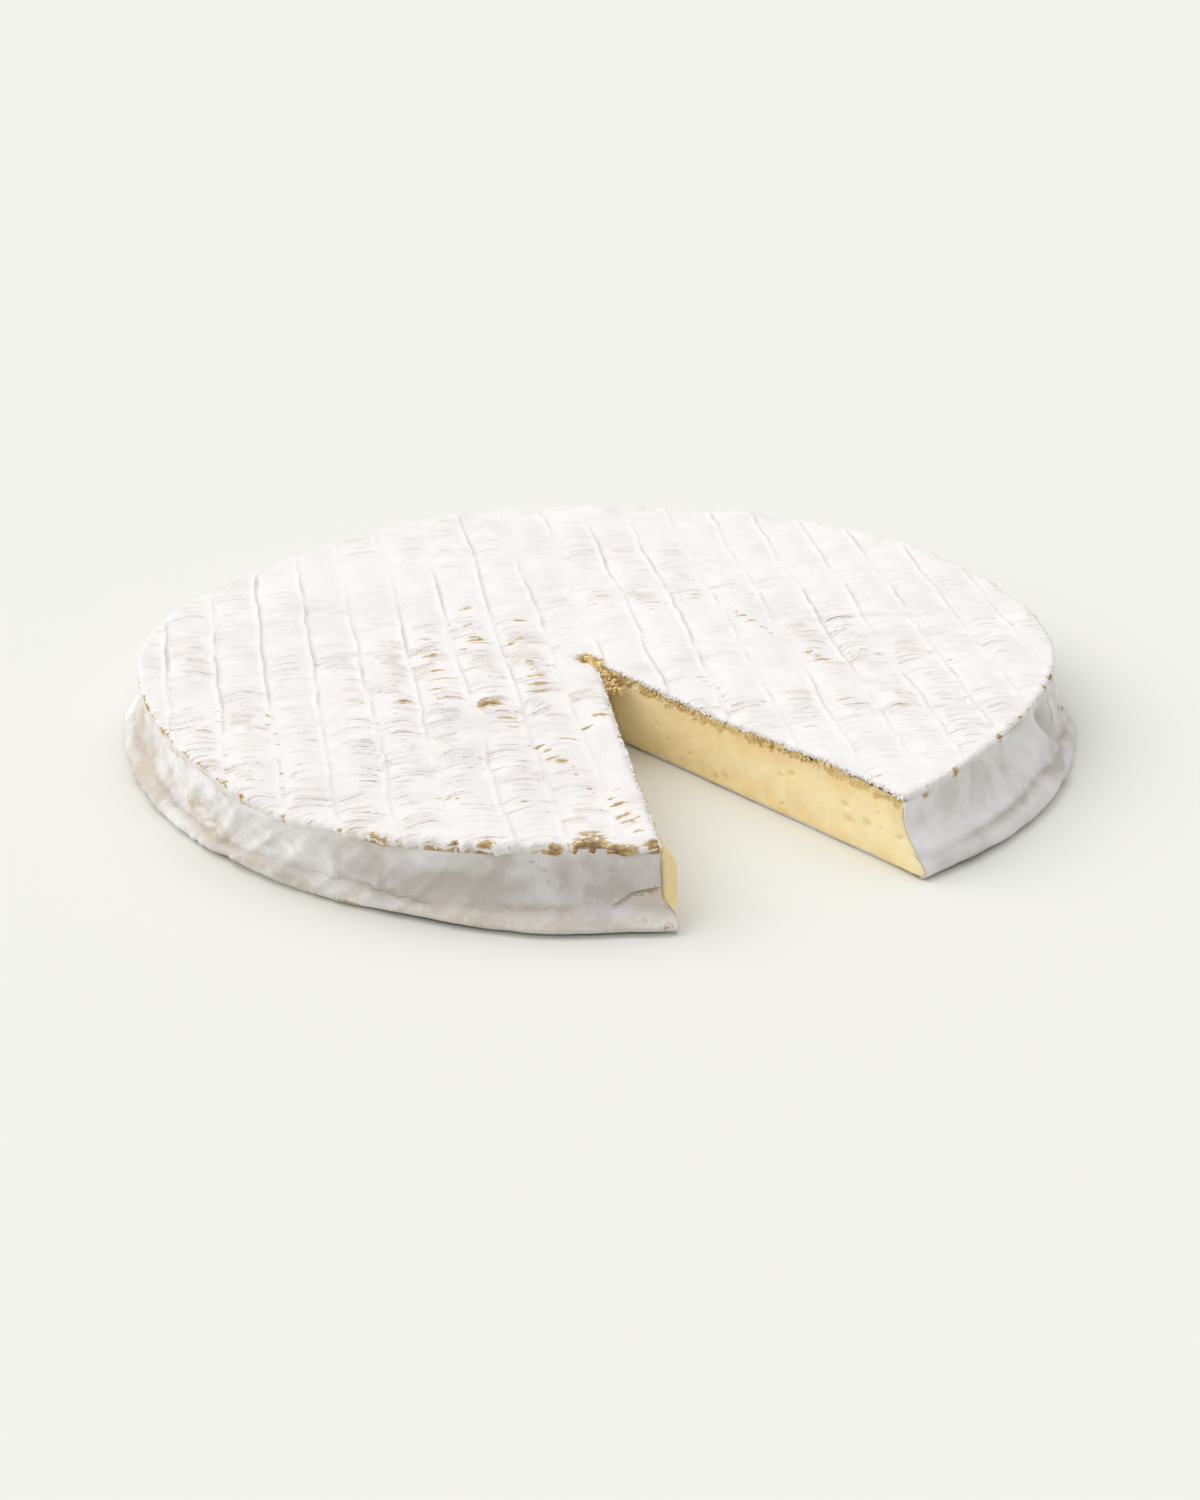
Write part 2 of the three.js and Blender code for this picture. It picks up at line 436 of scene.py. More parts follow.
def face_outward(piece):
    pick(piece, np.ones(len(piece.data.vertices), bool))
    bpy.ops.mesh.normals_make_consistent(inside=False)
    object_mode()


def open_edge(piece):
    """True for the vertices on a sheet's open edge."""
    mesh = piece.data
    count = np.zeros(len(mesh.edges), int)
    loops = np.empty(len(mesh.loops), int)
    mesh.loops.foreach_get("edge_index", loops)
    np.add.at(count, loops, 1)
    ends = np.empty(len(mesh.edges) * 2, int)
    mesh.edges.foreach_get("vertices", ends)
    on_edge = np.zeros(len(mesh.vertices), bool)
    on_edge[ends.reshape(-1, 2)[count == 1].ravel()] = True
    return on_edge


def paint(piece, **coats):
    """Named values for each vertex, which the material reads."""
    for name, values in coats.items():
        layer = piece.data.attributes.new(name, "FLOAT", "POINT")
        layer.data.foreach_set("value", np.asarray(values, np.float32))


def trim_ears(sheet):
    """Takes off squares that hang on by one side or one corner, so that the edge is one clean loop."""
    mesh = bmesh.new()
    mesh.from_mesh(sheet.data)
    while True:
        ears = [f for f in mesh.faces if sum(e.is_boundary for e in f.edges) > 2]
        knots = [v for v in mesh.verts if sum(e.is_boundary for e in v.link_edges) > 2]
        ears = set(ears) | {f for v in knots for f in v.link_faces}
        if not ears:
            break
        bmesh.ops.delete(mesh, geom=list(ears), context="FACES")
    mesh.to_mesh(sheet.data)
    mesh.free()


def trimmed_sheet(name, pitch, inset):
    """A flat sheet of small squares in line with the mat, trimmed to the wheel's outline with its cut."""
    reach = rim_radius + 12
    squares = int(2 * reach / pitch)
    bpy.ops.object.select_all(action="DESELECT")
    bpy.ops.mesh.primitive_grid_add(
        x_subdivisions=squares,
        y_subdivisions=squares,
        size=2 * reach * MM,
        location=(wheel_middle[0] * MM, wheel_middle[1] * MM, 0),
        rotation=(0, 0, mat_turn),
    )
    sheet = bpy.context.object
    sheet.name = name
    bpy.ops.object.transform_apply(location=True, rotation=True, scale=True)

    spots = places(sheet)
    past = past_outline(spots[:, 0], spots[:, 1]) + inset
    pick(sheet, past > 0.25 * pitch)
    bpy.ops.mesh.delete(type="VERT")
    object_mode()

    trim_ears(sheet)
    spots = places(sheet)
    edge = open_edge(sheet)
    for _ in range(3):
        x, y = spots[edge, 0], spots[edge, 1]
        past = past_outline(x, y) + inset
        step = 0.05
        slope_x = (past_outline(x + step, y) - past_outline(x - step, y)) / (2 * step)
        slope_y = (past_outline(x, y + step) - past_outline(x, y - step)) / (2 * step)
        steep = np.maximum(slope_x ** 2 + slope_y ** 2, 0.2)
        spots[edge, 0] -= past * slope_x / steep
        spots[edge, 1] -= past * slope_y / steep
    move_to(sheet, spots)
    past = past_outline(spots[:, 0], spots[:, 1]) + inset
    pick(sheet, (past > -4 * pitch) & ~edge)
    bpy.ops.mesh.vertices_smooth(factor=0.5, repeat=5)
    object_mode()
    return sheet


def close_sheet(sheet, rows, step):
    """Turns a sheet's edge up or down in rows, and closes it with one flat face."""
    pick(sheet, open_edge(sheet))
    for _ in range(rows):
        bpy.ops.mesh.extrude_region_move(TRANSFORM_OT_translate={"value": (0, 0, step * MM)})
    bpy.ops.mesh.edge_face_add()
    object_mode()
    face_outward(sheet)


def cut_facing(side):
    """The way out of the cheese at a knife cut: side 1 right, -1 left."""
    way = cut_middle_angle + side * cut_half_angle
    return np.sin(way) * side, -np.cos(way) * side


top_pitch = 1.03
edge_inset = 0.6
skirt_steps = 4  # the felt turns down over the edge in this many rows
skirt_floor = 25.0  # the sheet's flat underside
rim_roll = 1.5  # mm, how round the edge is
cut_roll = 0.7
side_lap = 26.7  # the felt comes down at least this far over the side's skin
paste_lap = 27.2  # and this far over the paste
lip_turn, lip_spread = -126, 24  # degrees, where the torn lip of the rim stands out most
soft_turn = -168  # degrees, where the felt runs on down the side

top_rind = trimmed_sheet("rind_top", top_pitch, edge_inset)
close_sheet(top_rind, skirt_steps + 1, -1.0)

spots = places(top_rind)
x, y = spots[:, 0].copy(), spots[:, 1].copy()
row = np.round(-spots[:, 2])
radius, angle = polar(x, y)
right, left = past_cut(x, y)
from_rim = rim_at(angle) - radius
from_cut = -np.minimum(right, left)
by_rim = from_rim < from_cut
from_edge = np.minimum(from_rim, from_cut) - edge_inset
round_rim = angle * rim_radius
print_height, crease, step, lined, rib_off, ribbed = mat_print(x, y)
skin = bare_skin(x, y)

near_rim = 1 - ease(2, 10, from_rim)
height = top_height + swell(x, y) + felt_lie(x, y) + print_height * (1 - 0.5 * near_rim)
height = height - 0.5 * skin * (0.4 + 0.6 * crease)
rim_lie = uneven(round_rim, from_rim, (0.7, 13, 14), (0.4, 4.5, 27))
height = height + near_rim * rim_lie
turn = np.degrees(angle)
lip = 0.22 + 0.78 * fade(turn, lip_turn, lip_spread)
rolls = rim_roll * (0.4 + 0.5 * lip) * (1 + 0.4 * drift(round_rim, 0 * x, 9, 28))
for roll, gap in ((rolls, from_rim), (cut_roll, from_cut)):
    over = np.clip(roll - (gap - edge_inset), 0, roll)
    height = height - (roll - np.sqrt(np.maximum(roll ** 2 - over ** 2, 0)))
torn = dab(x, y, (-8.5, -11.5), 4.0, 6.5, math.radians(38))
height = height - 2.0 * torn * (0.7 + 0.6 * drift(x, y, 1.6, 15))
rim_torn = 0 * x
for middle, inward, width, depth, strength in torn_rim:
    gap = math.radians(1) * turn_gap(turn, middle) * rim_radius
    rim_torn = np.maximum(rim_torn, strength * dab(gap, from_rim, (0, inward), width, depth))
rim_torn = rim_torn * (0.85 + uneven(x, y, (0.7, 2.3, 71), (0.4, 1.1, 72)))
height = height - 0.8 * np.clip(rim_torn, 0, 1)

ragged = uneven(round_rim, 0 * x, (0.75, 3.1, 16), (0.45, 1.4, 17))
scallop = drift(round_rim, 0 * x, 15, 29)
ragged_cut = uneven(x + y, x - y, (0.6, 2.6, 18), (0.45, 1.3, 19))
on_skirt = row > 0.5
soft_side = fade(turn_gap(turn, soft_turn), 0, 15)
drape = np.clip(1.5 + lip * (1.2 * ragged + 0.8 * scallop) + 1.2 * soft_side, 0.3, 3.4)
drape = np.maximum(drape, height - side_lap - swell(x, y))
cut_out = 0.25 + 0.65 * ragged_cut
paste_there = np.minimum(paste_lap, 26.75 + 1.17 * cut_out)  # the paste's top slopes down behind its edge
cut_drape = np.clip(0.9 + 1.1 * ragged_cut, 0.2, 2.3)
cut_drape = np.maximum(cut_drape, height - paste_there - swell(x, y))
drape = np.where(by_rim, drape, cut_drape)
out = lip * (0.9 + 1.5 * ragged + 1.1 * scallop) - 0.1 - 0.5 * soft_side
out = np.where(by_rim, out, cut_out)
out = out * (1 - ease(0, 2.5, from_edge))
share_down = np.clip(row / skirt_steps, 0, 1)
puff = np.where(by_rim, 0.55, 0.25) * share_down * (1 - share_down) - 0.25 * share_down
out = out + np.where(on_skirt, puff, 0)
tucked = row > skirt_steps + 0.5
at_corner = 1 - ease(2, 5, np.abs(from_rim - from_cut))
out = np.where(tucked, -0.7 * (1 - at_corner), out)
cut_nx, cut_ny = cut_facing(np.where(right < left, 1, -1))
spots[:, 0] = x + np.where(by_rim, np.cos(angle), cut_nx) * out
spots[:, 1] = y + np.where(by_rim, np.sin(angle), cut_ny) * out
spots[:, 2] = np.where(tucked, skirt_floor, height - np.where(on_skirt, drape * share_down, 0))
move_to(top_rind, spots)

across, along = mat_lie(x, y)
along = along - straw_arch(across, along)
off_rib = np.abs((across - rib_start + rib_pitch / 2) % rib_pitch - rib_pitch / 2)
speckle = 0.78 + uneven(round_rim, 3 * from_rim, (0.7, 3.5, 20), (0.3, 1.5, 64))
worn = worn_rim(angle)
rubbed_width = 0.45 + 1.6 * np.clip(worn - 0.8, 0, 1)
rim_line = worn * fade(from_rim, 0.5, rubbed_width) * speckle * ease(0.4, 0.62, worn)
rim_line = rim_line + 0.6 * fade(off_rib, 0, 1.2) * (1 - ease(0.5, 2.2, from_rim)) * speckle
skirt_line = (0.3 + 0.7 * lip) * 1.3 * worn * ease(0.62, 1.0, share_down) * speckle
rim_line = np.where(on_skirt & by_rim, skirt_line, rim_line)
cut_line = 0.55 * share_down ** 2 * np.clip(0.7 + 0.8 * ragged_cut, 0, 0.8)
cut_line = np.where(on_skirt & ~by_rim, cut_line, 0)
bare = 1.5 * skin * (0.7 + 0.3 * crease) + rim_line + cut_line + 1.2 * torn + 1.15 * rim_torn
faint = 0.3 * ease(0.05, 0.8, drift(x, y, 27, 21)) * crease
side_tone = np.where(on_skirt & by_rim, (1 - 0.5 * lip) * ease(0, 0.5, share_down), 0)
paint(
    top_rind,
    bare=np.clip(bare + faint, 0, 1.4),
    # the grey amount: a little in the straw creases, painted shade in the low places of the felt, and the
    # turned-down edge toned like the side
    thin=0.12 * crease + 0.4 * np.clip(-felt_lie(x, y), 0, 1) + side_tone,
    stain=0.42 * np.clip(lined, 0, 1) * ease(-0.2, 0.7, drift(x, y, 21, 70)),
    step=step,
    lined=np.where(on_skirt, 0, lined),
    rib=rib_off,
    ribbed=np.where(on_skirt, 0, ribbed * (1 - near_rim)),
    across=across,
    along=along,
)
bpy.ops.object.shade_smooth()


def set_values(node, values):
    for name, value in values.items():
        node.inputs[name].default_value = value


def add(tree, kind, values=None, **settings):
    """A new node with these settings and socket values."""
    node = tree.nodes.new(kind)
    for name, value in settings.items():
        setattr(node, name, value)
    set_values(node, values or {})
    return node


def math_node(tree, operation, first, second=0.5, third=0.5):
    node = add(tree, "ShaderNodeMath", operation=operation)
    for socket, value in zip(node.inputs, (first, second, third)):
        if isinstance(value, (int, float)):
            socket.default_value = value
        else:
            tree.links.new(value, socket)
    return node.outputs[0]


def noise(tree, place, size, detail=3.0, rough=0.55, warp=0.0):
    """Uneven values from 0 to 1 in lumps about size mm across."""
    values = {"Scale": 1 / size, "Detail": detail, "Roughness": rough, "Distortion": warp}
    node = add(tree, "ShaderNodeTexNoise", values)
    tree.links.new(place, node.inputs["Vector"])
    return node.outputs["Fac"]


def band(tree, value, low, high):
    """0 below low, 1 above high."""
    limits = {"From Min": low, "From Max": high}
    node = add(tree, "ShaderNodeMapRange", limits, interpolation_type="SMOOTHSTEP")
    tree.links.new(value, node.inputs["Value"])
    return node.outputs["Result"]


def line(tree, value, full, gone):
    """A line where a value is near zero: 1 up to full from it, 0 past gone."""
    distance = math_node(tree, "ABSOLUTE", value)
    return math_node(tree, "SUBTRACT", 1.0, band(tree, distance, full, gone))


def mixed(tree, amount, first, second):
    """A colour between two colours or colour sockets."""
    node = add(tree, "ShaderNodeMix", data_type="RGBA", clamp_factor=True)
    tree.links.new(amount, node.inputs[0])
    for socket, value in ((node.inputs[6], first), (node.inputs[7], second)):
        if isinstance(value, tuple):
            socket.default_value = (*value, 1)
        else:
            tree.links.new(value, socket)
    return node.outputs[2]


def millimetres(tree):
    """The place on the piece in mm."""
    place = add(tree, "ShaderNodeTexCoord")
    scale = add(tree, "ShaderNodeMapping", {"Scale": (1 / MM, 1 / MM, 1 / MM)})
    tree.links.new(place.outputs["Object"], scale.inputs["Vector"])
    return scale.outputs["Vector"]


def vertex_value(tree, name):
    return add(tree, "ShaderNodeAttribute", attribute_name=name).outputs["Fac"]


def new_material(name):
    """A material, its nodes and its shader."""
    material = bpy.data.materials.new(name)
    material.use_nodes = True
    return material, material.node_tree, material.node_tree.nodes["Principled BSDF"]


def fine_relief(tree, shader, height, depth):
    """Relief too fine for the mesh, depth mm deep."""
    bump = add(tree, "ShaderNodeBump", {"Strength": 1.0, "Distance": depth * MM})
    tree.links.new(height, bump.inputs["Height"])
    tree.links.new(bump.outputs["Normal"], shader.inputs["Normal"])


def group_sockets(group, sockets):
    for name, kind, way, value in sockets:
        socket = group.interface.new_socket(name, in_out=way, socket_type=kind)
        if value is not None:
            socket.default_value = value


def felt_group():
    """The mould's nap of short matted fibres, its thick and thin patches, and the finest straw lines."""
    group = bpy.data.node_groups.new("mould_felt", "ShaderNodeTree")
    group_sockets(group, [
        ("Place", "NodeSocketVector", "INPUT", None),
        ("Across", "NodeSocketFloat", "INPUT", 0.0),
        ("Along", "NodeSocketFloat", "INPUT", 0.0),
        ("Nap", "NodeSocketFloat", "OUTPUT", None),
        ("Bloom", "NodeSocketFloat", "OUTPUT", None),
        ("Straws", "NodeSocketFloat", "OUTPUT", None),
        ("Lines", "NodeSocketFloat", "OUTPUT", None),
    ])
    given = add(group, "NodeGroupInput")
    result = add(group, "NodeGroupOutput")
    fine = noise(group, given.outputs["Place"], 0.6, 4, 0.7)
    lumps = noise(group, given.outputs["Place"], 2.4, 3, 0.6, 0.4)
    nap = math_node(group, "MULTIPLY_ADD", lumps, 1.6, fine)
    group.links.new(nap, result.inputs["Nap"])
    group.links.new(noise(group, given.outputs["Place"], 17, 5, 0.55, 0.6), result.inputs["Bloom"])
    lie = add(group, "ShaderNodeCombineXYZ")
    group.links.new(math_node(group, "MULTIPLY", given.outputs["Across"], 0.13), lie.inputs["X"])
    group.links.new(given.outputs["Along"], lie.inputs["Y"])
    straws = noise(group, lie.outputs["Vector"], 1.7, 3, 0.6, 0.2)
    group.links.new(straws, result.inputs["Straws"])
    apart = math_node(group, "SUBTRACT", noise(group, lie.outputs["Vector"], 3.4, 1, 0.5, 0.1), 0.5)
    group.links.new(line(group, apart, 0.004, 0.03), result.inputs["Lines"])
    return group


def skin_group():
    """The tan to brown skin where it shows: pale at the edge of a mark and dark at its middle."""
    group = bpy.data.node_groups.new("bare_skin", "ShaderNodeTree")
    group_sockets(group, [
        ("Place", "NodeSocketVector", "INPUT", None),
        ("Straws", "NodeSocketFloat", "INPUT", 0.5),
        ("Clean", "NodeSocketColor", "INPUT", None),
        ("Amount", "NodeSocketFloat", "INPUT", 0.0),
        ("Tan", "NodeSocketColor", "INPUT", (0.60, 0.435, 0.21, 1)),
        ("Brown", "NodeSocketColor", "INPUT", (0.36, 0.235, 0.083, 1)),
        ("Dark", "NodeSocketColor", "INPUT", (0.19, 0.11, 0.038, 1)),
        ("Colour", "NodeSocketColor", "OUTPUT", None),
        ("Shown", "NodeSocketFloat", "OUTPUT", None),
    ])
    given = add(group, "NodeGroupInput")
    result = add(group, "NodeGroupOutput")
    rough = math_node(group, "SUBTRACT", noise(group, given.outputs["Place"], 1.2, 4, 0.65, 0.5), 0.5)
    lined = math_node(group, "SUBTRACT", given.outputs["Straws"], 0.5)
    uneven = math_node(group, "MULTIPLY_ADD", rough, 1.5, math_node(group, "MULTIPLY", lined, 1.9))
    gate = band(group, given.outputs["Amount"], 0.06, 0.32)
    amount = math_node(group, "MULTIPLY_ADD", uneven, gate, given.outputs["Amount"])
    tan = mixed(group, band(group, amount, 0.26, 0.72), given.outputs["Clean"], given.outputs["Tan"])
    brown = mixed(group, band(group, amount, 0.74, 1.12), tan, given.outputs["Brown"])
    dark = mixed(group, band(group, amount, 1.2, 1.6), brown, given.outputs["Dark"])
    group.links.new(dark, result.inputs["Colour"])
    group.links.new(band(group, amount, 0.4, 0.85), result.inputs["Shown"])
    return group


mould_felt = felt_group()
skin_colours = skin_group()


def rind_material(name, clean, thin, lilac_and_shadow, crack_and_shade, patchiness, streaks, nap_depth):
    """White mould felt over the tan skin."""
    material, tree, shader = new_material(name)
    place = millimetres(tree)
    felt = add(tree, "ShaderNodeGroup", node_tree=mould_felt)
    tree.links.new(place, felt.inputs["Place"])
    tree.links.new(vertex_value(tree, "across"), felt.inputs["Across"])
    tree.links.new(vertex_value(tree, "along"), felt.inputs["Along"])
    bloom = band(tree, felt.outputs["Bloom"], 0.40, 0.70)
    # Greyer where the vertices are painted grey: thin mould, and painted shade where a piece puts it.
    thinness = math_node(tree, "MULTIPLY_ADD", bloom, patchiness, vertex_value(tree, "thin"))
    patchy = mixed(tree, thinness, clean, thin)
    speckled = math_node(tree, "MULTIPLY_ADD", band(tree, felt.outputs["Nap"], 1.0, 1.65), 1.1, 0.3)
    beige = math_node(tree, "MULTIPLY", speckled, vertex_value(tree, "stain"))
    stained = mixed(tree, beige, patchy, (0.64, 0.54, 0.40))
    soft_lines = math_node(tree, "MULTIPLY", band(tree, felt.outputs["Straws"], 0.54, 0.76), streaks)
    printed = vertex_value(tree, "lined")
    wobble = math_node(tree, "MULTIPLY_ADD", felt.outputs["Straws"], 0.16, vertex_value(tree, "step"))
    count = math_node(tree, "SUBTRACT", math_node(tree, "FRACT", math_node(tree, "ADD", wobble, 0.42)), 0.5)
    crease = math_node(tree, "MULTIPLY", line(tree, count, 0.02, 0.11), printed)
    from_lip = math_node(tree, "ADD", count, 0.10)
    lip = math_node(tree, "MULTIPLY", line(tree, from_lip, 0.0, 0.09), printed)
    line_strength = math_node(tree, "MULTIPLY", printed, 0.8)
    fine_lines = math_node(tree, "MULTIPLY", felt.outputs["Lines"], line_strength)
    off_rib = vertex_value(tree, "rib")
    ribbed = vertex_value(tree, "ribbed")
    crest = math_node(tree, "MULTIPLY", line(tree, off_rib, 0.0, 0.6), ribbed)
    # Painted shadow: a thin lilac line on the side of each rib away from the light, which also sinks the
    # bump a little.
    from_rib_shadow = math_node(tree, "SUBTRACT", off_rib, 1.05)
    rib_shadow = math_node(tree, "MULTIPLY", line(tree, from_rib_shadow, 0.05, 0.5), ribbed)
    all_lines = math_node(tree, "MULTIPLY_ADD", rib_shadow, 0.3, math_node(tree, "ADD", soft_lines, fine_lines))
    # The lilac colour tints the soft straw lines and also paints the rib shadow.
    softened = mixed(tree, all_lines, stained, lilac_and_shadow)
    lined = mixed(tree, math_node(tree, "MULTIPLY", crease, 0.9), softened, crack_and_shade)
    skin = add(tree, "ShaderNodeGroup", node_tree=skin_colours)
    tree.links.new(place, skin.inputs["Place"])
    tree.links.new(felt.outputs["Straws"], skin.inputs["Straws"])
    tree.links.new(lined, skin.inputs["Clean"])
    tree.links.new(vertex_value(tree, "bare"), skin.inputs["Amount"])
    tree.links.new(skin.outputs["Colour"], shader.inputs["Base Color"])
    dull = math_node(tree, "MULTIPLY_ADD", skin.outputs["Shown"], -0.25, 0.88)
    tree.links.new(dull, shader.inputs["Roughness"])
    set_values(shader, {"Specular IOR Level": 0.25, "Sheen Weight": 0.1, "Sheen Roughness": 0.6})
    nap = felt.outputs["Nap"]
    sunk = ((felt.outputs["Straws"], -1.1), (fine_lines, -1.2), (crease, -1.8), (rib_shadow, -0.7))
    raised = ((lip, 1.5), (crest, 1.2))
    for mark, rise in sunk + raised:
        nap = math_node(tree, "MULTIPLY_ADD", mark, rise, nap)
    nap = math_node(tree, "SUBTRACT", nap, math_node(tree, "MULTIPLY", skin.outputs["Shown"], 0.9))
    fine_relief(tree, shader, nap, nap_depth)
    return material


top_rind.data.materials.append(rind_material(
    "white_top_rind", clean=(0.868, 0.838, 0.816), thin=(0.785, 0.75, 0.725), lilac_and_shadow=(0.73, 0.68, 0.66),
    crack_and_shade=(0.56, 0.42, 0.28), patchiness=0.55, streaks=0.5, nap_depth=0.17))
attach(top_rind, "root")
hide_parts("cheese_wheel")

# ======== The side rind ========
# The same mould on the side of the wheel, which stood in a hoop and then slumped: smooth under the rim,
# drawn in at the waist and spread to a foot that the weight pressed out. A skin about 2 mm thick.

foot_radius = 186.0
foot_lobes = [(1, 1.0, 118), (3, 0.8, 2), (4, 0.8, -33)]
side_top = 27.0  # the side's skin ends here, under the top rind
side_thickness = 2.0
flare_powers = [  # round the wheel in degrees: how late the side turns out to its foot
    (-180, 3.0), (-150, 2.4), (-107, 2.2), (-73, 1.25), (-45, 1.2),
    (-20, 1.7), (20, 2.2), (150, 3.2), (180, 3.0),
]
side_folds = [  # angle, lean, width, height: soft folds that run down the side
    (-128, 0.6, 3.0, 0.9),
    (-133, 0.9, 2.2, 0.7),
    (-138, 0.7, 2.6, 1.0),
    (-143, 1.0, 2.4, 0.9),
    (-149, 0.9, 3.0, 1.2),
    (-154, 1.2, 2.2, 0.9),
    (-160, 1.0, 3.4, 1.2),
    (-168, 0.6, 3.0, 0.9),
    (176, 0.4, 3.5, 0.7),
    (166, -0.5, 3.5, 0.8),
    (-113, 0.2, 1.3, -0.7),
    (-30.5, -0.4, 3.4, 2.0),
    (-38, -0.7, 6.0, -3.6),
    (-34, 0.1, 1.0, -0.8),
    (-47, -0.9, 5.0, 0.7),
    (-55, -0.4, 5.0, 0.5),
    (12, 0.5, 4.0, 0.7),
    (41, -0.6, 3.0, 0.7),
    (70, 0.4, 4.0, 0.8),
    (103, -0.5, 3.0, 0.7),
    (127, 0.6, 4.0, 0.8),
    (146, -0.4, 3.0, 0.8),
]


def foot_at(angle):
    return foot_radius + lobed(foot_lobes, angle)


def foot_step(round_about):
    """The height of the soft step above the foot."""
    return 6.4 + 1.2 * drift(round_about, 0 * round_about, 30, 37)


def side_radius(angle, z):
    """The side's distance from the wheel's middle at a height."""
    turn = np.degrees((angle + math.pi) % (2 * math.pi) - math.pi)
    power = np.interp(turn, [a for a, _ in flare_powers], [p for _, p in flare_powers])
    share = np.clip((side_top - z) / (side_top - 3.0), 0, 1)
    rim, foot = rim_at(angle) - 0.7, foot_at(angle)
    round_about = angle * rim_radius
    waist = 1.5 * np.sin(math.pi * np.clip(share / 0.8, 0, 1)) ** 1.3
    radius = rim + (foot - rim) * share ** power - waist
    step_height = foot_step(round_about)
    stepped = 0.7 + 0.5 * drift(round_about, 0 * z, 24, 65)
    radius = radius + 1.1 * stepped * ease(step_height + 1.1, step_height - 1.1, z)
    radius = radius - 0.8 * stepped * fade(z, step_height + 1.7, 1.4)
    dents = 0.8 * drift(round_about, z * 1.2, 26, 31) + 0.5 * drift(round_about + z, z * 1.5, 10, 32)
    crumpled = 0.12 + 0.4 * fade(turn_gap(turn, -164), 0, 22)
    dents = dents + crumpled * drift(round_about - 0.9 * z, 0.45 * z, 3.0, 33)
    dents = dents + 2.6 * dab(turn_gap(turn, soft_turn), z, (0, 20), 9, 4.5)
    for middle, lean, width, rise in side_folds:
        off = math.radians(1) * turn_gap(turn, middle) * rim_radius - lean * (z - 14)
        dents = dents + rise * fade(off, 0, width) * ease(27, 20, z) * ease(0, 6, z)
    radius = radius + dents * ease(0, 4, side_top - z)
    under = np.clip((3.0 - z) / 3.0, 0, 1)
    return radius - 3.2 * under ** 2.2


def foot_lift(angle):
    """The foot isn't quite flat all round, and lifts a little between its low places."""
    return 0.9 * np.clip(drift(angle * rim_radius, 0 * angle, 34, 34) + 0.1, 0, 1)


def cut_angle(side, radius):
    """The angle round the wheel where a knife cut crosses this radius: side 1 right, -1 left."""
    way = cut_middle_angle + side * cut_half_angle
    px, py = cut_point[0] - wheel_middle[0], cut_point[1] - wheel_middle[1]
    along = px * np.cos(way) + py * np.sin(way)
    far = -along + np.sqrt(along ** 2 + radius ** 2 - px ** 2 - py ** 2)
    return np.arctan2(py + far * np.sin(way), px + far * np.cos(way))


spin_steps = 20
spin_cuts = 58  # each step is then cut finer
outer_steps = 46
inner_steps = 12

# A flat strip stands at the right-hand cut, bent to the section, and is spun round to the left-hand cut.
bpy.ops.object.select_all(action="DESELECT")
start_angle = float(cut_angle(1, rim_radius))
end_angle = float(cut_angle(-1, rim_radius)) + 2 * math.pi
bpy.ops.mesh.primitive_circle_add(vertices=outer_steps + inner_steps, radius=1.0, fill_type="NOTHING")
side_rind = bpy.context.object
side_rind.name = "rind_side"
ring = np.arange(outer_steps + inner_steps)
outer = ring < outer_steps
down_share = np.where(outer, ring / (outer_steps - 1), 1 - (ring - outer_steps + 0.5) / inner_steps)
section_z = side_top * (1 - down_share)
section_r = np.where(outer, rim_radius, rim_radius - side_thickness)
section = np.stack([
    wheel_middle[0] + section_r * math.cos(start_angle),
    wheel_middle[1] + section_r * math.sin(start_angle),
    section_z,
], axis=1)
move_to(side_rind, section)
pick(side_rind, np.ones(len(ring), bool))
bpy.ops.mesh.spin(
    steps=spin_steps,
    dupli=False,
    angle=start_angle - end_angle,
    center=(wheel_middle[0] * MM, wheel_middle[1] * MM, 0),
    axis=(0, 0, 1),
)
object_mode()


def edge_ends(piece):
    """The places in mm of each edge's two ends."""
    ends = np.empty(len(piece.data.edges) * 2, int)
    piece.data.edges.foreach_get("vertices", ends)
    spots = places(piece)
    return spots[ends[0::2]], spots[ends[1::2]]


tails, heads = edge_ends(side_rind)
half_step = rim_radius * (end_angle - start_angle) / spin_steps / 2
pick(side_rind, np.hypot(*(tails - heads)[:, :2].T) > half_step, "edges")
bpy.ops.mesh.subdivide(number_cuts=spin_cuts)
object_mode()
spots = places(side_rind)
# A vertex between two steps lies on the chord of the step: its share of the way round is read off there.
radius, angle = polar(spots[:, 0], spots[:, 1])
sweep = end_angle - start_angle
step_angle = sweep / spin_steps
round_from_start = (angle - start_angle) % (2 * math.pi)
round_from_start = np.where(round_from_start > sweep + 0.05, 0, round_from_start)
step = np.clip(np.floor(round_from_start / step_angle + 1e-6), 0, spin_steps - 1)
within = round_from_start - (step + 0.5) * step_angle
chord_share = 0.5 + 0.5 * np.tan(within) / math.tan(step_angle / 2)
share = np.clip((step + chord_share) / spin_steps, 0, 1)
full_radius = radius * np.cos(within) / math.cos(step_angle / 2)
is_inner = full_radius < rim_radius - side_thickness / 2
z = spots[:, 2]
middle_angle = start_angle + share * sweep
new_radius = side_radius(middle_angle, z) - np.where(is_inner, side_thickness, 0)
first, last = cut_angle(1, new_radius), cut_angle(-1, new_radius) + 2 * math.pi
turned = first + share * (last - first)
from_left_end = (1 - share) * sweep * rim_radius
corner = 4.4 * ease(11, 4, z) * fade(from_left_end, 0, 9)
turned = turned + corner / rim_radius
new_radius = side_radius(turned, z) - np.where(is_inner, side_thickness + 1.5 * ease(2, 0, z), 0)
spots[:, 0] = wheel_middle[0] + new_radius * np.cos(turned)
spots[:, 1] = wheel_middle[1] + new_radius * np.sin(turned)
lift = foot_lift(turned) * (1 - ease(0, 9, z))
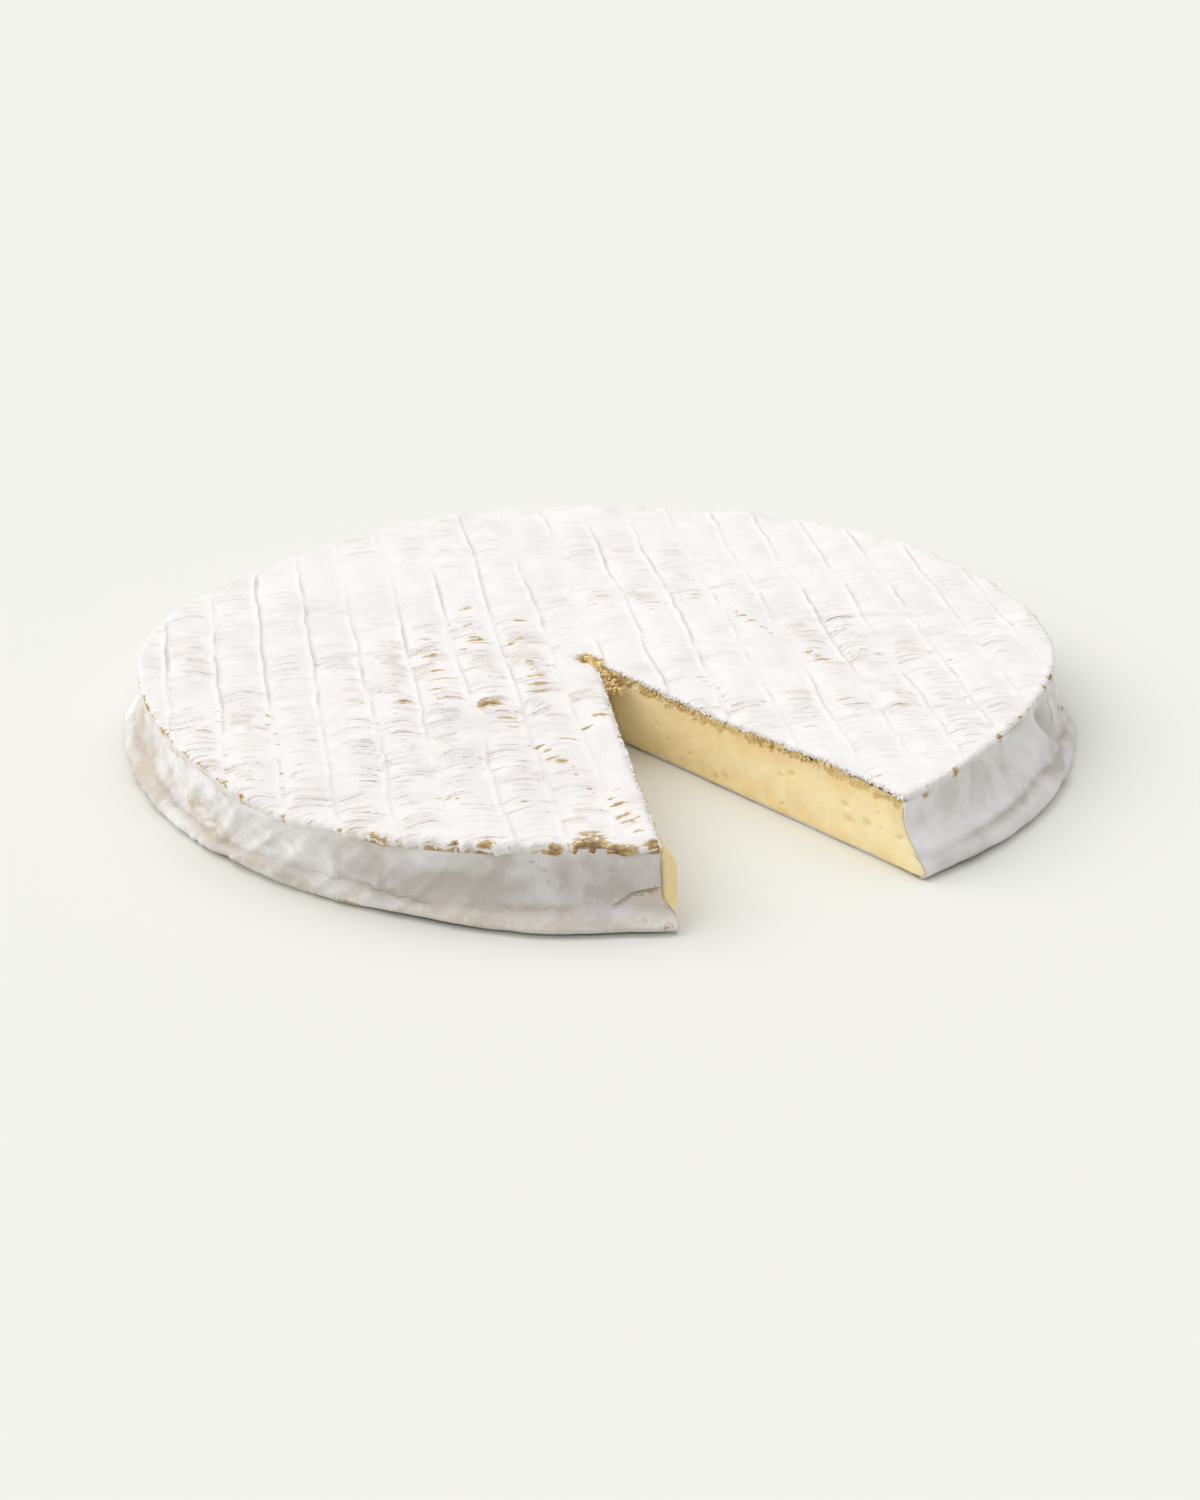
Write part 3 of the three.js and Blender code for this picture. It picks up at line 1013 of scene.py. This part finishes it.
spots[:, 2] = z + lift + swell(spots[:, 0], spots[:, 1]) * ease(12, side_top, z)
move_to(side_rind, spots)
ends = open_edge(side_rind)
for end in (share < 0.5, share >= 0.5):
    pick(side_rind, ends & end)
    bpy.ops.mesh.edge_face_add()
    object_mode()
face_outward(side_rind)
bpy.ops.object.shade_smooth()

side_wear = [  # angle, height, spread round in degrees, spread up in mm, strength
    (-109.6, 12.3, 1.6, 0.7, 0.6),
    (-108.3, 13.2, 0.6, 0.6, 0.75),
    (-121.8, 22.8, 0.7, 0.7, 0.7),
    (-120.7, 19.4, 0.5, 0.7, 0.6),
    (-107.6, 3, 0.9, 1.6, 0.6),
    (-143, 2, 6.0, 1.0, 0.5),
    (-156, 1.5, 4.0, 1.0, 0.5),
    (-33, 9, 0.6, 0.7, 0.7),
    (-31, 13, 0.7, 0.7, 0.6),
    (-34, 5, 1.5, 1.2, 0.5),
    (-48.5, 8, 1.1, 1.6, 0.55),
    (-46.5, 4, 1.6, 1.4, 0.5),
    (-73, 26, 0.7, 1.6, 0.8),
]
thin_places = [  # angle, height, spread round, spread up, strength: greyer where the mould is thin, with painted shade on the front of the wall and in the fold at the right end
    # painted shade: the front of the wall, which faces away from the light
    (-122, 15, 24, 10, 0.62),
    (-112, 13, 6, 6, 0.95),
    (-118, 17, 5, 4, 0.7),
    (-134, 12, 6, 4, 0.5),
    (-146, 10, 6, 4, 0.6),
    (-154, 6, 8, 5, 0.5),
    (175, 8, 12, 8, 0.3),
    # painted shade in the fold at the right end
    (-38, 14, 3.0, 9, 0.9),
    (-42, 10, 5, 5, 0.5),
    (-32, 9, 6, 7, 0.5),
]
stained_places = [  # the same, tinted beige by the skin under it
    (175, 9, 5.0, 7, 1.0),
    (-177, 6, 4.0, 4, 0.8),
    (167, 14, 5.0, 5, 0.7),
    (-168, 12.5, 2.8, 4, 1.3),
    (-163.5, 9, 3.2, 4.4, 1.5),
    (-157, 7, 3.0, 3.0, 0.9),
    (-150, 5, 3.0, 2.5, 0.6),
    (-152, 3, 14, 2.4, 0.5),
    (-126, 4, 16, 3.5, 0.38),
    (-110, 5, 5, 4.0, 0.45),
    (-109, 10.5, 2.5, 2.5, 0.55),
    (-33, 8, 4.0, 6, 0.4),
    (30, 7, 9, 5, 0.4),
    (84, 6, 12, 4, 0.45),
    (130, 8, 8, 6, 0.4),
]
fluffy_places = [  # the same, whiter, where the felt is long and loose
    (-171, 21, 7, 7, 1.0),
    (-163, 19, 4, 5, 0.9),
    (-152, 17, 5, 7, 0.7),
    (-145, 16, 1.0, 8, 0.8),
    (-136, 20, 7, 4, 0.4),
]
side_lines = [  # angle and height at both ends, strength: thin cracks in the skin, and painted shade along the crease above the foot and in the fold at the right end
    (-108.4, 13.1, -110.8, 12.0, 1.0),
    (-110.8, 12.0, -113.2, 9.2, 0.7),
    (-121.6, 21.5, -120.5, 19.2, 0.2),
    (-120.5, 17.2, -120.2, 14.5, 0.2),
    # painted shade along the crease above the foot
    (-147.0, 9.4, -140.0, 8.6, 0.18),
    (-140.0, 8.6, -133.0, 6.9, 0.32),
    (-125.0, 7.6, -117.0, 7.4, 0.14),
    # painted shade in the fold at the right end
    (-34.5, 24.0, -36.0, 14.0, 0.5),
    (-31.5, 15.0, -33.5, 8.0, 0.45),
]
turn = np.degrees(turned)


def patches(rows):
    """Soft patches on the side, from rows of angle, height, spread round, spread up and strength."""
    shown = 0 * turn
    for middle, level, spread, rise, strength in rows:
        shown = np.maximum(shown, strength * dab(turn_gap(turn, middle), z, (0, level), spread, rise))
    return shown


round_about = turned * rim_radius
bare = patches(side_wear)
under_rim = ease(23.4, 25.0, z + 1.4 * drift(round_about, z, 3.5, 35))
torn_side = 0.3 + 0.7 * fade(turn, lip_turn, lip_spread)
bare = np.maximum(bare, 1.15 * torn_side * worn_rim(turned) * under_rim)
bare = bare + 0.16 * fade(z, 1.0, 1.2)
bare = bare * (0.75 + 0.8 * drift(round_about, z * 1.4, 5, 36))
thin = patches(thin_places) * (0.9 + 0.3 * drift(round_about, z * 1.6, 7, 38))
thin = thin + 0.2 + 0.22 * drift(round_about + 1.5 * z, z * 2.2, 21, 39)
thin = thin + 0.07 * drift(round_about, z * 1.3, 4.0, 66)
thin = thin - 0.55 * patches(fluffy_places) * (0.8 + 0.7 * drift(round_about + z, z, 3.5, 76))
# Painted shade: greyer along the groove above the foot step.
groove = foot_step(round_about) + 1.6
thin = thin + 0.55 * fade(z, groove, 1.3) * (0.6 + 0.8 * drift(round_about, 0 * z, 18, 67))
line_off = 0 * z + 1.5
line_shown = 0 * z
for start, start_z, end, end_z, strength in side_lines:
    dx, dz = math.radians(end - start) * rim_radius, end_z - start_z
    long = math.hypot(dx, dz)
    gap = math.radians(1) * turn_gap(turn, start) * rim_radius
    way_along = (gap * dx + (z - start_z) * dz) / long ** 2
    off = (gap * dz - (z - start_z) * dx) / long + 0.7 * drift(round_about, z, 4.0, 77)
    shown = ease(-0.12, 0.05, way_along) * ease(1.12, 0.95, way_along) * ease(1.5, 0.9, np.abs(off))
    shown = strength * shown
    line_off = np.where(shown > line_shown, off, line_off)
    line_shown = np.maximum(line_shown, shown)
stain = patches(stained_places) * (0.9 + 1.1 * drift(round_about - 2 * z, z * 2, 6, 40))
paint(
    side_rind,
    bare=np.clip(bare, 0, 1.3),
    thin=np.clip(thin, 0, 1),
    stain=np.clip(stain, 0, 1),
    step=0.08 + line_off / 4,
    lined=line_shown,
    rib=0 * z,
    ribbed=0 * z,
    across=2.2 * z,
    along=1.6 * round_about,
)
side_rind.data.materials.append(rind_material(
    "white_side_rind", clean=(0.91, 0.89, 0.88), thin=(0.53, 0.488, 0.443), lilac_and_shadow=(0.68, 0.646, 0.62),
    crack_and_shade=(0.34, 0.25, 0.14), patchiness=0.4, streaks=0.3, nap_depth=0.24))
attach(side_rind, "root")
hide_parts("cheese_wheel")

# ======== The underside rind ========
# The wheel is turned while it drains, so the underside is felted and printed like the top, only pressed
# flat by the weight.

base_pitch = 2.4
base_inset = 1.5
base_thickness = 2.2
base_top = 2.4
pressed_to = 0.55  # the lowest marks of the mat stand on z = 0

base_rind = trimmed_sheet("rind_base", base_pitch, base_inset)
close_sheet(base_rind, 1, base_thickness)
spots = places(base_rind)
x, y = spots[:, 0].copy(), spots[:, 1].copy()
lower = spots[:, 2] < base_thickness / 2
print_height, crease, step, lined, rib_off, ribbed = mat_print(x, -y)
across, along = mat_lie(x, -y)
right, left = past_cut(x, y)
cut_nx, cut_ny = cut_facing(np.where(right < left, 1, -1))
inside_rim = polar(x, y)[0] < rim_radius - 6
to_cut = 1.3 * (1 - ease(1.2, 4.5, -np.minimum(right, left))) * inside_rim
spots[:, 0] = x + to_cut * cut_nx
spots[:, 1] = y + to_cut * cut_ny
spots[:, 2] = np.where(lower, pressed_to - np.clip(0.45 * print_height, -0.5, pressed_to), base_top)
move_to(base_rind, spots)
x, y = spots[:, 0], spots[:, 1]
paint(
    base_rind,
    bare=0.45 * np.clip(drift(x, y, 14, 41), 0, 1),
    thin=0.4 * crease,
    stain=0.25 * np.clip(drift(x, y, 40, 42), 0, 1),
    step=step,
    lined=lined,
    rib=rib_off,
    ribbed=0.6 * ribbed,
    across=across,
    along=along - straw_arch(across, along),
)
bpy.ops.object.shade_smooth()
base_rind.data.materials.append(rind_material(
    "white_base_rind", clean=(0.82, 0.79, 0.77), thin=(0.74, 0.69, 0.64), lilac_and_shadow=(0.76, 0.74, 0.74),
    crack_and_shade=(0.55, 0.44, 0.32), patchiness=0.55, streaks=0.5, nap_depth=0.10))
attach(base_rind, "root")
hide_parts("cheese_wheel")

# ======== The paste ========
# The ripe cheese inside: soft, golden and slightly moist, leaning out of the two knife cuts at mid height.
# It fills the rinds, and shows only at the cuts, with a brown line under the top rind and small eyes.

paste_top = 27.6
paste_bottom = 1.4
cut_bulge = 1.2
wall_facets = 220
along_cuts = (4, 67)  # five lengths, then each in 68
up_cuts = 50
touching = 0.01  # mm, what is nearer than this to a knife cut lies on it
top_border = 3.0
top_sunk = 3.5

bpy.ops.object.select_all(action="DESELECT")
bpy.ops.mesh.primitive_cylinder_add(
    vertices=wall_facets,
    radius=rim_radius * MM,
    depth=(paste_top - paste_bottom) * MM,
    location=(wheel_middle[0] * MM, wheel_middle[1] * MM, (paste_top + paste_bottom) / 2 * MM),
)
paste = bpy.context.object
paste.name = "paste"
bpy.ops.object.transform_apply(location=True, rotation=True, scale=True)
bpy.ops.object.mode_set(mode="EDIT")
for side in (1, -1):
    way = cut_middle_angle + side * cut_half_angle
    bpy.ops.mesh.select_all(action="SELECT")
    bpy.ops.mesh.bisect(
        plane_co=(cut_point[0] * MM, cut_point[1] * MM, 0),
        plane_no=(math.sin(way), -math.cos(way), 0),
    )
object_mode()


def face_middles(piece):
    flat = np.empty(len(piece.data.polygons) * 3)
    piece.data.polygons.foreach_get("center", flat)
    return flat.reshape(-1, 3) / MM


def in_gap(spots):
    """Which places are inside the missing wedge."""
    right, left = past_cut(spots[:, 0], spots[:, 1])
    return np.minimum(right, left) > touching


pick(paste, in_gap(face_middles(paste)), "polygons")
bpy.ops.mesh.delete(type="FACE")
object_mode()
pick(paste, in_gap(places(paste)))
bpy.ops.mesh.delete(type="VERT")
object_mode()

# The top slopes down behind its edge and is sunk inside, so that the uneven top rind clears it.
middles = face_middles(paste)
pick(paste, middles[:, 2] > paste_top - 0.1, "polygons")
bpy.ops.mesh.inset(thickness=top_border * MM, depth=0)
bpy.ops.transform.translate(value=(0, 0, -top_sunk * MM))
object_mode()


def cut_walls(spots):
    """Which places lie on the right-hand knife cut, and which on the left-hand one."""
    right, left = past_cut(spots[:, 0], spots[:, 1])
    on_right = (np.abs(right) < touching) & (left > -touching)
    on_left = (np.abs(left) < touching) & (right > -touching)
    return on_right, on_left


def on_cut(spots):
    return np.logical_or(*cut_walls(spots))


# The cut walls are filled in, then ruled into small squares: along the cut, then up it.
for wall in cut_walls(places(paste)):
    pick(paste, wall & open_edge(paste))
    bpy.ops.mesh.edge_face_add()
    object_mode()
for cuts in along_cuts:
    tails, heads = edge_ends(paste)
    level = np.abs(tails[:, 2] - heads[:, 2]) < touching
    pick(paste, on_cut(tails) & on_cut(heads) & level, "edges")
    bpy.ops.mesh.subdivide(number_cuts=cuts)
    object_mode()
tails, heads = edge_ends(paste)
upright = np.abs(tails[:, 2] - heads[:, 2]) > 1
pick(paste, on_cut(tails) & on_cut(heads) & upright, "edges")
bpy.ops.mesh.subdivide(number_cuts=up_cuts)
object_mode()

spots = places(paste)
x, y, z = spots.T.copy()
right, left = past_cut(x, y)
side = np.where(np.abs(right) < touching, 1, -1)
way = cut_middle_angle + side * cut_half_angle
along = np.hypot(x - cut_point[0], y - cut_point[1])
wall = on_cut(spots)


def cut_length(side, radius):
    """How long a knife cut is from the cut point out to this radius."""
    angle = cut_angle(side, radius)
    far_x = wheel_middle[0] + radius * np.cos(angle) - cut_point[0]
    far_y = wheel_middle[1] + radius * np.sin(angle) - cut_point[1]
    return np.hypot(far_x, far_y)


share = along / cut_length(side, rim_radius + 0 * z)
skin_radius = side_radius(cut_angle(side, rim_radius + 0 * z), z)
skin_radius = skin_radius - 0.8 - np.where(side < 0, 1.4 * ease(9, 5, z), 0)
full = cut_length(side, skin_radius)
along = np.where(wall, share * full, along)
level = z / top_height
bulge = cut_bulge * np.maximum(0, 1 - (2 * level - 1) ** 2)
to_rind = full - along
lean = bulge * (1 + 0.9 * fade(to_rind, 0, 14)) * ease(0, 14, along)
slump = 1.3 * fade(to_rind, 0, 55) + 3.0 * fade(to_rind, 0, 15)
lean = lean + np.where(side < 0, slump, 0) * ease(28, 17, z) * (0.5 + 0.5 * ease(1, 9, z))
own_z = z + side * 400  # each cut has its own unevenness
waves = uneven(along, own_z, (0.55, 26, 51), (0.28, 8, 52))
lean = lean + ease(0, 10, along) * waves + 0.07 * drift(along, own_z, 2.1, 53)
lean = lean * np.sqrt(np.clip(to_rind / np.where(side > 0, 5, 4), 0, 1))
torn_z = z + side * 90
torn_at = z + uneven(along, torn_z, (1.1, 2.6, 54), (0.6, 1.2, 58))
crust = ease(23.4, 25.4, torn_at)
lean = lean - crust * (0.1 + 0.55 * drift(along, torn_z, 1.9, 59))
eyes = 0 * z
eye_count = 34
holes = np.random.default_rng(7)
for _ in range(eye_count):
    hole_side = 1 if holes.random() < 0.5 else -1
    place = (12 + 155 * holes.random(), 4 + 18 * holes.random())
    size = 0.6 + 1.3 * holes.random() ** 2
    stretch = 1 + 0.8 * holes.random()
    spot = dab(along, z, place, size * stretch, size)
    eyes = np.maximum(eyes, np.where(wall & (side == hole_side), spot * min(1, size), 0))
lean = lean - 1.1 * eyes
cut_nx, cut_ny = cut_facing(side)
radius, angle = polar(x, y)
deep = (rim_at(angle) - 9) / rim_radius
deep_x = wheel_middle[0] + (x - wheel_middle[0]) * deep
deep_y = wheel_middle[1] + (y - wheel_middle[1]) * deep
spots[:, 0] = np.where(wall, cut_point[0] + along * np.cos(way) + cut_nx * lean, deep_x)
spots[:, 1] = np.where(wall, cut_point[1] + along * np.sin(way) + cut_ny * lean, deep_y)
spots[:, 2] = z + swell(x, y) * ease(8, 24, z)
move_to(paste, spots)
rag = uneven(along, 0 * z + side * 70, (1.2, 3.0, 55), (0.8, 1.3, 56))
brown_line_and_shade = 0.85 * ease(22.2, 25.8, z + 1.1 * rag) * (0.8 + 0.45 * drift(along, z + side * 30, 5, 57))
brown_line_and_shade = np.maximum(brown_line_and_shade, 0.3 * ease(2.4, 1.0, z + 0.5 * rag))
brown_line_and_shade = np.maximum(brown_line_and_shade, 0.9 * ease(22, 6, along + 2 * rag + 1.3 * (27 - z)) * ease(14, 24, z))
# Brown low down near the point of the cut: partly the skin's own colour, partly painted shade where the two
# cut faces meet the floor.
brown_line_and_shade = np.maximum(brown_line_and_shade, 0.35 * ease(70, 25, along) * ease(8, 2, z + rag))
by_left_rind = np.where(side < 0, fade(to_rind, 0, 25), 0)
# Paler in the middle of the height, and painted much paler near the point of the cut as painted light, to
# lift the shade of the narrow corner.
ripe = fade(z, 14, 9) * (1 - 1.6 * by_left_rind) + 1.8 * ease(55, 8, along)
under_felt = 0.75 * ease(15, 25, z + 0.8 * rag) * ease(10, 60, along)
golden = np.maximum(under_felt, 0.6 * by_left_rind * ease(5, 12, z))
# The skin amount holds the brown line under the rind and the painted shade low near the point of the cut;
# the pale amount also holds painted light near the point.
paint(
    paste,
    bare=np.where(wall, brown_line_and_shade, 0),
    ripe=np.where(wall, ripe, 0),
    eye=np.maximum(eyes, np.where(wall, golden, 0)),
)
face_outward(paste)
bpy.ops.object.shade_smooth()


def paste_material():
    """Ripe golden paste: paler and softer towards the middle, painted paler near the point of the cut as
    painted light, with darker mottles.
    """
    material, tree, shader = new_material("golden_paste")
    place = millimetres(tree)
    mottle = noise(tree, place, 13, 4, 0.55, 0.7)
    curd = noise(tree, place, 2.6, 4, 0.6, 0.3)
    warm = mixed(tree, band(tree, mottle, 0.40, 0.66), (0.96, 0.79, 0.45), (0.92, 0.69, 0.33))
    ripe = math_node(tree, "MULTIPLY", vertex_value(tree, "ripe"), 0.45)
    pale = mixed(tree, ripe, warm, (0.97, 0.85, 0.56))
    fine = mixed(tree, band(tree, curd, 0.55, 0.8), pale, (0.92, 0.74, 0.40))
    golden = math_node(tree, "MULTIPLY", vertex_value(tree, "eye"), 0.4)
    eyed = mixed(tree, golden, fine, (0.70, 0.50, 0.22))
    skin = add(tree, "ShaderNodeGroup", node_tree=skin_colours)
    tree.links.new(place, skin.inputs["Place"])
    tree.links.new(eyed, skin.inputs["Clean"])
    set_values(skin, {
        "Tan": (0.75, 0.55, 0.235, 1),
        "Brown": (0.54, 0.36, 0.13, 1),
        "Dark": (0.26, 0.15, 0.045, 1),
    })
    tree.links.new(vertex_value(tree, "bare"), skin.inputs["Amount"])
    tree.links.new(skin.outputs["Colour"], shader.inputs["Base Color"])
    moist = math_node(tree, "MULTIPLY_ADD", mottle, 0.3, 0.3)
    dull = math_node(tree, "MULTIPLY_ADD", skin.outputs["Shown"], 0.25, moist)
    tree.links.new(dull, shader.inputs["Roughness"])
    set_values(shader, {
        "Specular IOR Level": 0.4,
        "Subsurface Weight": 0.2,
        "Subsurface Radius": (1.0, 0.62, 0.28),
        "Subsurface Scale": 0.002,
    })
    torn_curd = math_node(tree, "MULTIPLY", curd, 2.0)
    rough = math_node(tree, "MULTIPLY_ADD", skin.outputs["Shown"], torn_curd, curd)
    fine_relief(tree, shader, rough, 0.25)
    return material


paste.data.materials.append(paste_material())
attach(paste, "root")
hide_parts("cheese_wheel")

# ======== Crumbs and tufts at the cut ========
# The knife tore the dry skin under the felt: brown crumbs hang along the top of both cuts, and bridge the
# narrow end where they meet. Soft tufts of the white felt are pushed over the edge between them.

crumb_count = 760
knot_count = 260
tuft_count = 1200


def bits_of(name, middles, sizes, detail, seed):
    """One mesh of many small rough lumps, each turned and stretched its own way."""
    bpy.ops.object.select_all(action="DESELECT")
    bpy.ops.mesh.primitive_ico_sphere_add(subdivisions=detail, radius=MM, location=(0, 0, 0))
    lump = bpy.context.object
    lump.name = name
    luck = np.random.default_rng(seed)
    ball = places(lump)
    corners = np.array([tuple(face.vertices) for face in lump.data.polygons])
    shapes = []
    faces = []
    for n, (middle, size) in enumerate(zip(middles, sizes)):
        rough = 1 + 0.45 * luck.uniform(-1, 1, (len(ball), 1))
        turn, _ = np.linalg.qr(luck.normal(size=(3, 3)))
        turn = turn * np.sign(np.linalg.det(turn))
        shapes.append((ball * rough * luck.uniform(0.55, 1.45, 3)) @ turn * size + middle)
        faces.append(corners + n * len(ball))
    mesh = bpy.data.meshes.new(name)
    mesh.from_pydata((np.concatenate(shapes) * MM).tolist(), [], np.concatenate(faces).tolist())
    lump.data = mesh
    bpy.ops.object.shade_smooth()
    return lump


def along_cut(side, along, out, z):
    """Places by a knife cut: along it, out into the gap, and up."""
    way = cut_middle_angle + side * cut_half_angle
    cut_nx, cut_ny = cut_facing(side)
    px = cut_point[0] + along * np.cos(way) + out * cut_nx
    py = cut_point[1] + along * np.sin(way) + out * cut_ny
    return np.stack([px, py, z + swell(px, py)], axis=1)


luck = np.random.default_rng(17)
side = luck.choice([-1, 1], crumb_count)
crumb_spots = along_cut(
    side,
    luck.uniform(3, 163, crumb_count),
    luck.uniform(-0.25, 0.4, crumb_count),
    27.2 - 2.9 * luck.random(crumb_count) ** 1.2,
)
crumb_sizes = luck.uniform(0.22, 0.66, crumb_count)
# The knot starts behind the point of the cut and follows its left side, lower as the cut widens.
knot_out = luck.uniform(-8, 24, knot_count)
knot_room = np.where(knot_out < 0, 1.8 + 0.12 * knot_out, 1.4 + 0.27 * knot_out)
knot_off = luck.uniform(-1, 1, knot_count) * knot_room - 0.16 * np.maximum(knot_out, 0)
knot_x = cut_point[0] - 1.0 + knot_off - 0.04 * knot_out
knot_y = cut_point[1] - knot_out
knot_depth = np.where(knot_out > 0, 2.2, 0.5)
knot_drop = 0.10 * np.maximum(knot_out, 0) + luck.uniform(0, 1, knot_count) * knot_depth
knot_spots = np.stack([knot_x, knot_y, 28.6 - knot_drop + swell(knot_x, knot_y)], axis=1)
knot_sizes = luck.uniform(0.4, 1.1, knot_count) * (1 - 0.25 * (knot_out < 0))
crumbs = bits_of(
    "crumbs", np.concatenate([crumb_spots, knot_spots]), np.concatenate([crumb_sizes, knot_sizes]), 2, 18)

side = luck.choice([-1, 1], tuft_count)
tuft_along = luck.uniform(10, 164, tuft_count)
puffed = 0.35 + uneven(tuft_along, side * 60.0, (0.5, 6, 68), (0.3, 2.2, 69))
tuft_spots = along_cut(
    side,
    tuft_along,
    luck.uniform(-0.6, 0.0, tuft_count) + 0.5 * puffed - np.where(side < 0, 0.3, 0),
    luck.uniform(27.7, 28.7, tuft_count) - 0.5 * puffed,
)
tufts = bits_of("felt_tufts", tuft_spots, luck.uniform(0.25, 0.62, tuft_count), 1, 19)


def crumb_material():
    """Dry rind torn by the knife, golden to brown in patches."""
    material, tree, shader = new_material("brown_crumb")
    place = millimetres(tree)
    patchy = noise(tree, place, 2.4, 3, 0.6)
    colour = mixed(tree, band(tree, patchy, 0.38, 0.64), (0.90, 0.68, 0.34), (0.62, 0.42, 0.18))
    tree.links.new(colour, shader.inputs["Base Color"])
    set_values(shader, {"Roughness": 0.85})
    fine_relief(tree, shader, noise(tree, place, 0.4, 3, 0.6), 0.15)
    return material


crumbs.data.materials.append(crumb_material())
tufts.data.materials.append(top_rind.data.materials[0])
for bits in (crumbs, tufts):
    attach(bits, "root")
    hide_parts("cheese_wheel")

# ======== The studio ========
# A plain pale floor, a broad soft light from behind on the left, and the pale walls of the room.

view_turn = math.radians(-24.4)  # the camera stands to the left of the cut and looks in to it
view_down = math.radians(23.8)
view_back = 0.9933
view_height = 0.4244

bpy.ops.object.select_all(action="DESELECT")
bpy.ops.mesh.primitive_plane_add(size=30, location=(0, 0, 0))
floor = bpy.context.object
floor.name = "floor"
floor_finish, _, floor_shader = new_material("pale_floor")
set_values(floor_shader, {
    "Base Color": (0.785, 0.785, 0.732, 1),
    "Roughness": 0.9,
    "Specular IOR Level": 0.1,
})
floor.data.materials.append(floor_finish)


def seen_from_camera(right, away, up):
    """A place given to the right of, away from and above the wheel, as the camera sees it."""
    cos, sin = math.cos(view_turn), math.sin(view_turn)
    return (right * cos - away * sin, right * sin + away * cos, up)


def soft_light(name, turn, rise, softness, power, colour):
    """Broad even light: turn is round the wheel as the camera sees it, and rise is above the floor."""
    lamp = bpy.data.lights.new(name, "SUN")
    lamp.angle = math.radians(softness)
    lamp.energy = power
    lamp.color = colour
    stand = bpy.data.objects.new(name, lamp)
    bpy.context.scene.collection.objects.link(stand)
    turn, rise = math.radians(turn), math.radians(rise)
    flat = math.cos(rise)
    stand.location = seen_from_camera(flat * math.cos(turn), flat * math.sin(turn), math.sin(rise))
    stand.rotation_euler = (-stand.location).to_track_quat("-Z", "Y").to_euler()


soft_light("window", 156, 43, 50, 1.3, (1.0, 0.99, 0.975))
soft_light("ceiling", 60, 66, 70, 0.7, (1.0, 1.0, 1.0))
soft_light("reflector", -152, 24, 60, 0.5, (1.0, 1.0, 1.0))

room = bpy.data.worlds.new("room")
room.use_nodes = True
set_values(room.node_tree.nodes["Background"], {"Color": (0.97, 0.975, 1.0, 1), "Strength": 0.62})
bpy.context.scene.world = room
bpy.context.scene.view_settings.view_transform = "Standard"

camera_data = bpy.data.cameras.new("camera")
camera_data.lens = 65.16
camera_data.sensor_width = 36
camera = bpy.data.objects.new("camera", camera_data)
bpy.context.scene.collection.objects.link(camera)
camera_place = seen_from_camera(-0.0005, -view_back, view_height)
camera.location = (
    camera_place[0] + wheel_middle[0] * MM,
    camera_place[1] + wheel_middle[1] * MM,
    camera_place[2],
)
camera.rotation_euler = (math.pi / 2 - view_down, 0, view_turn)
bpy.context.scene.camera = camera
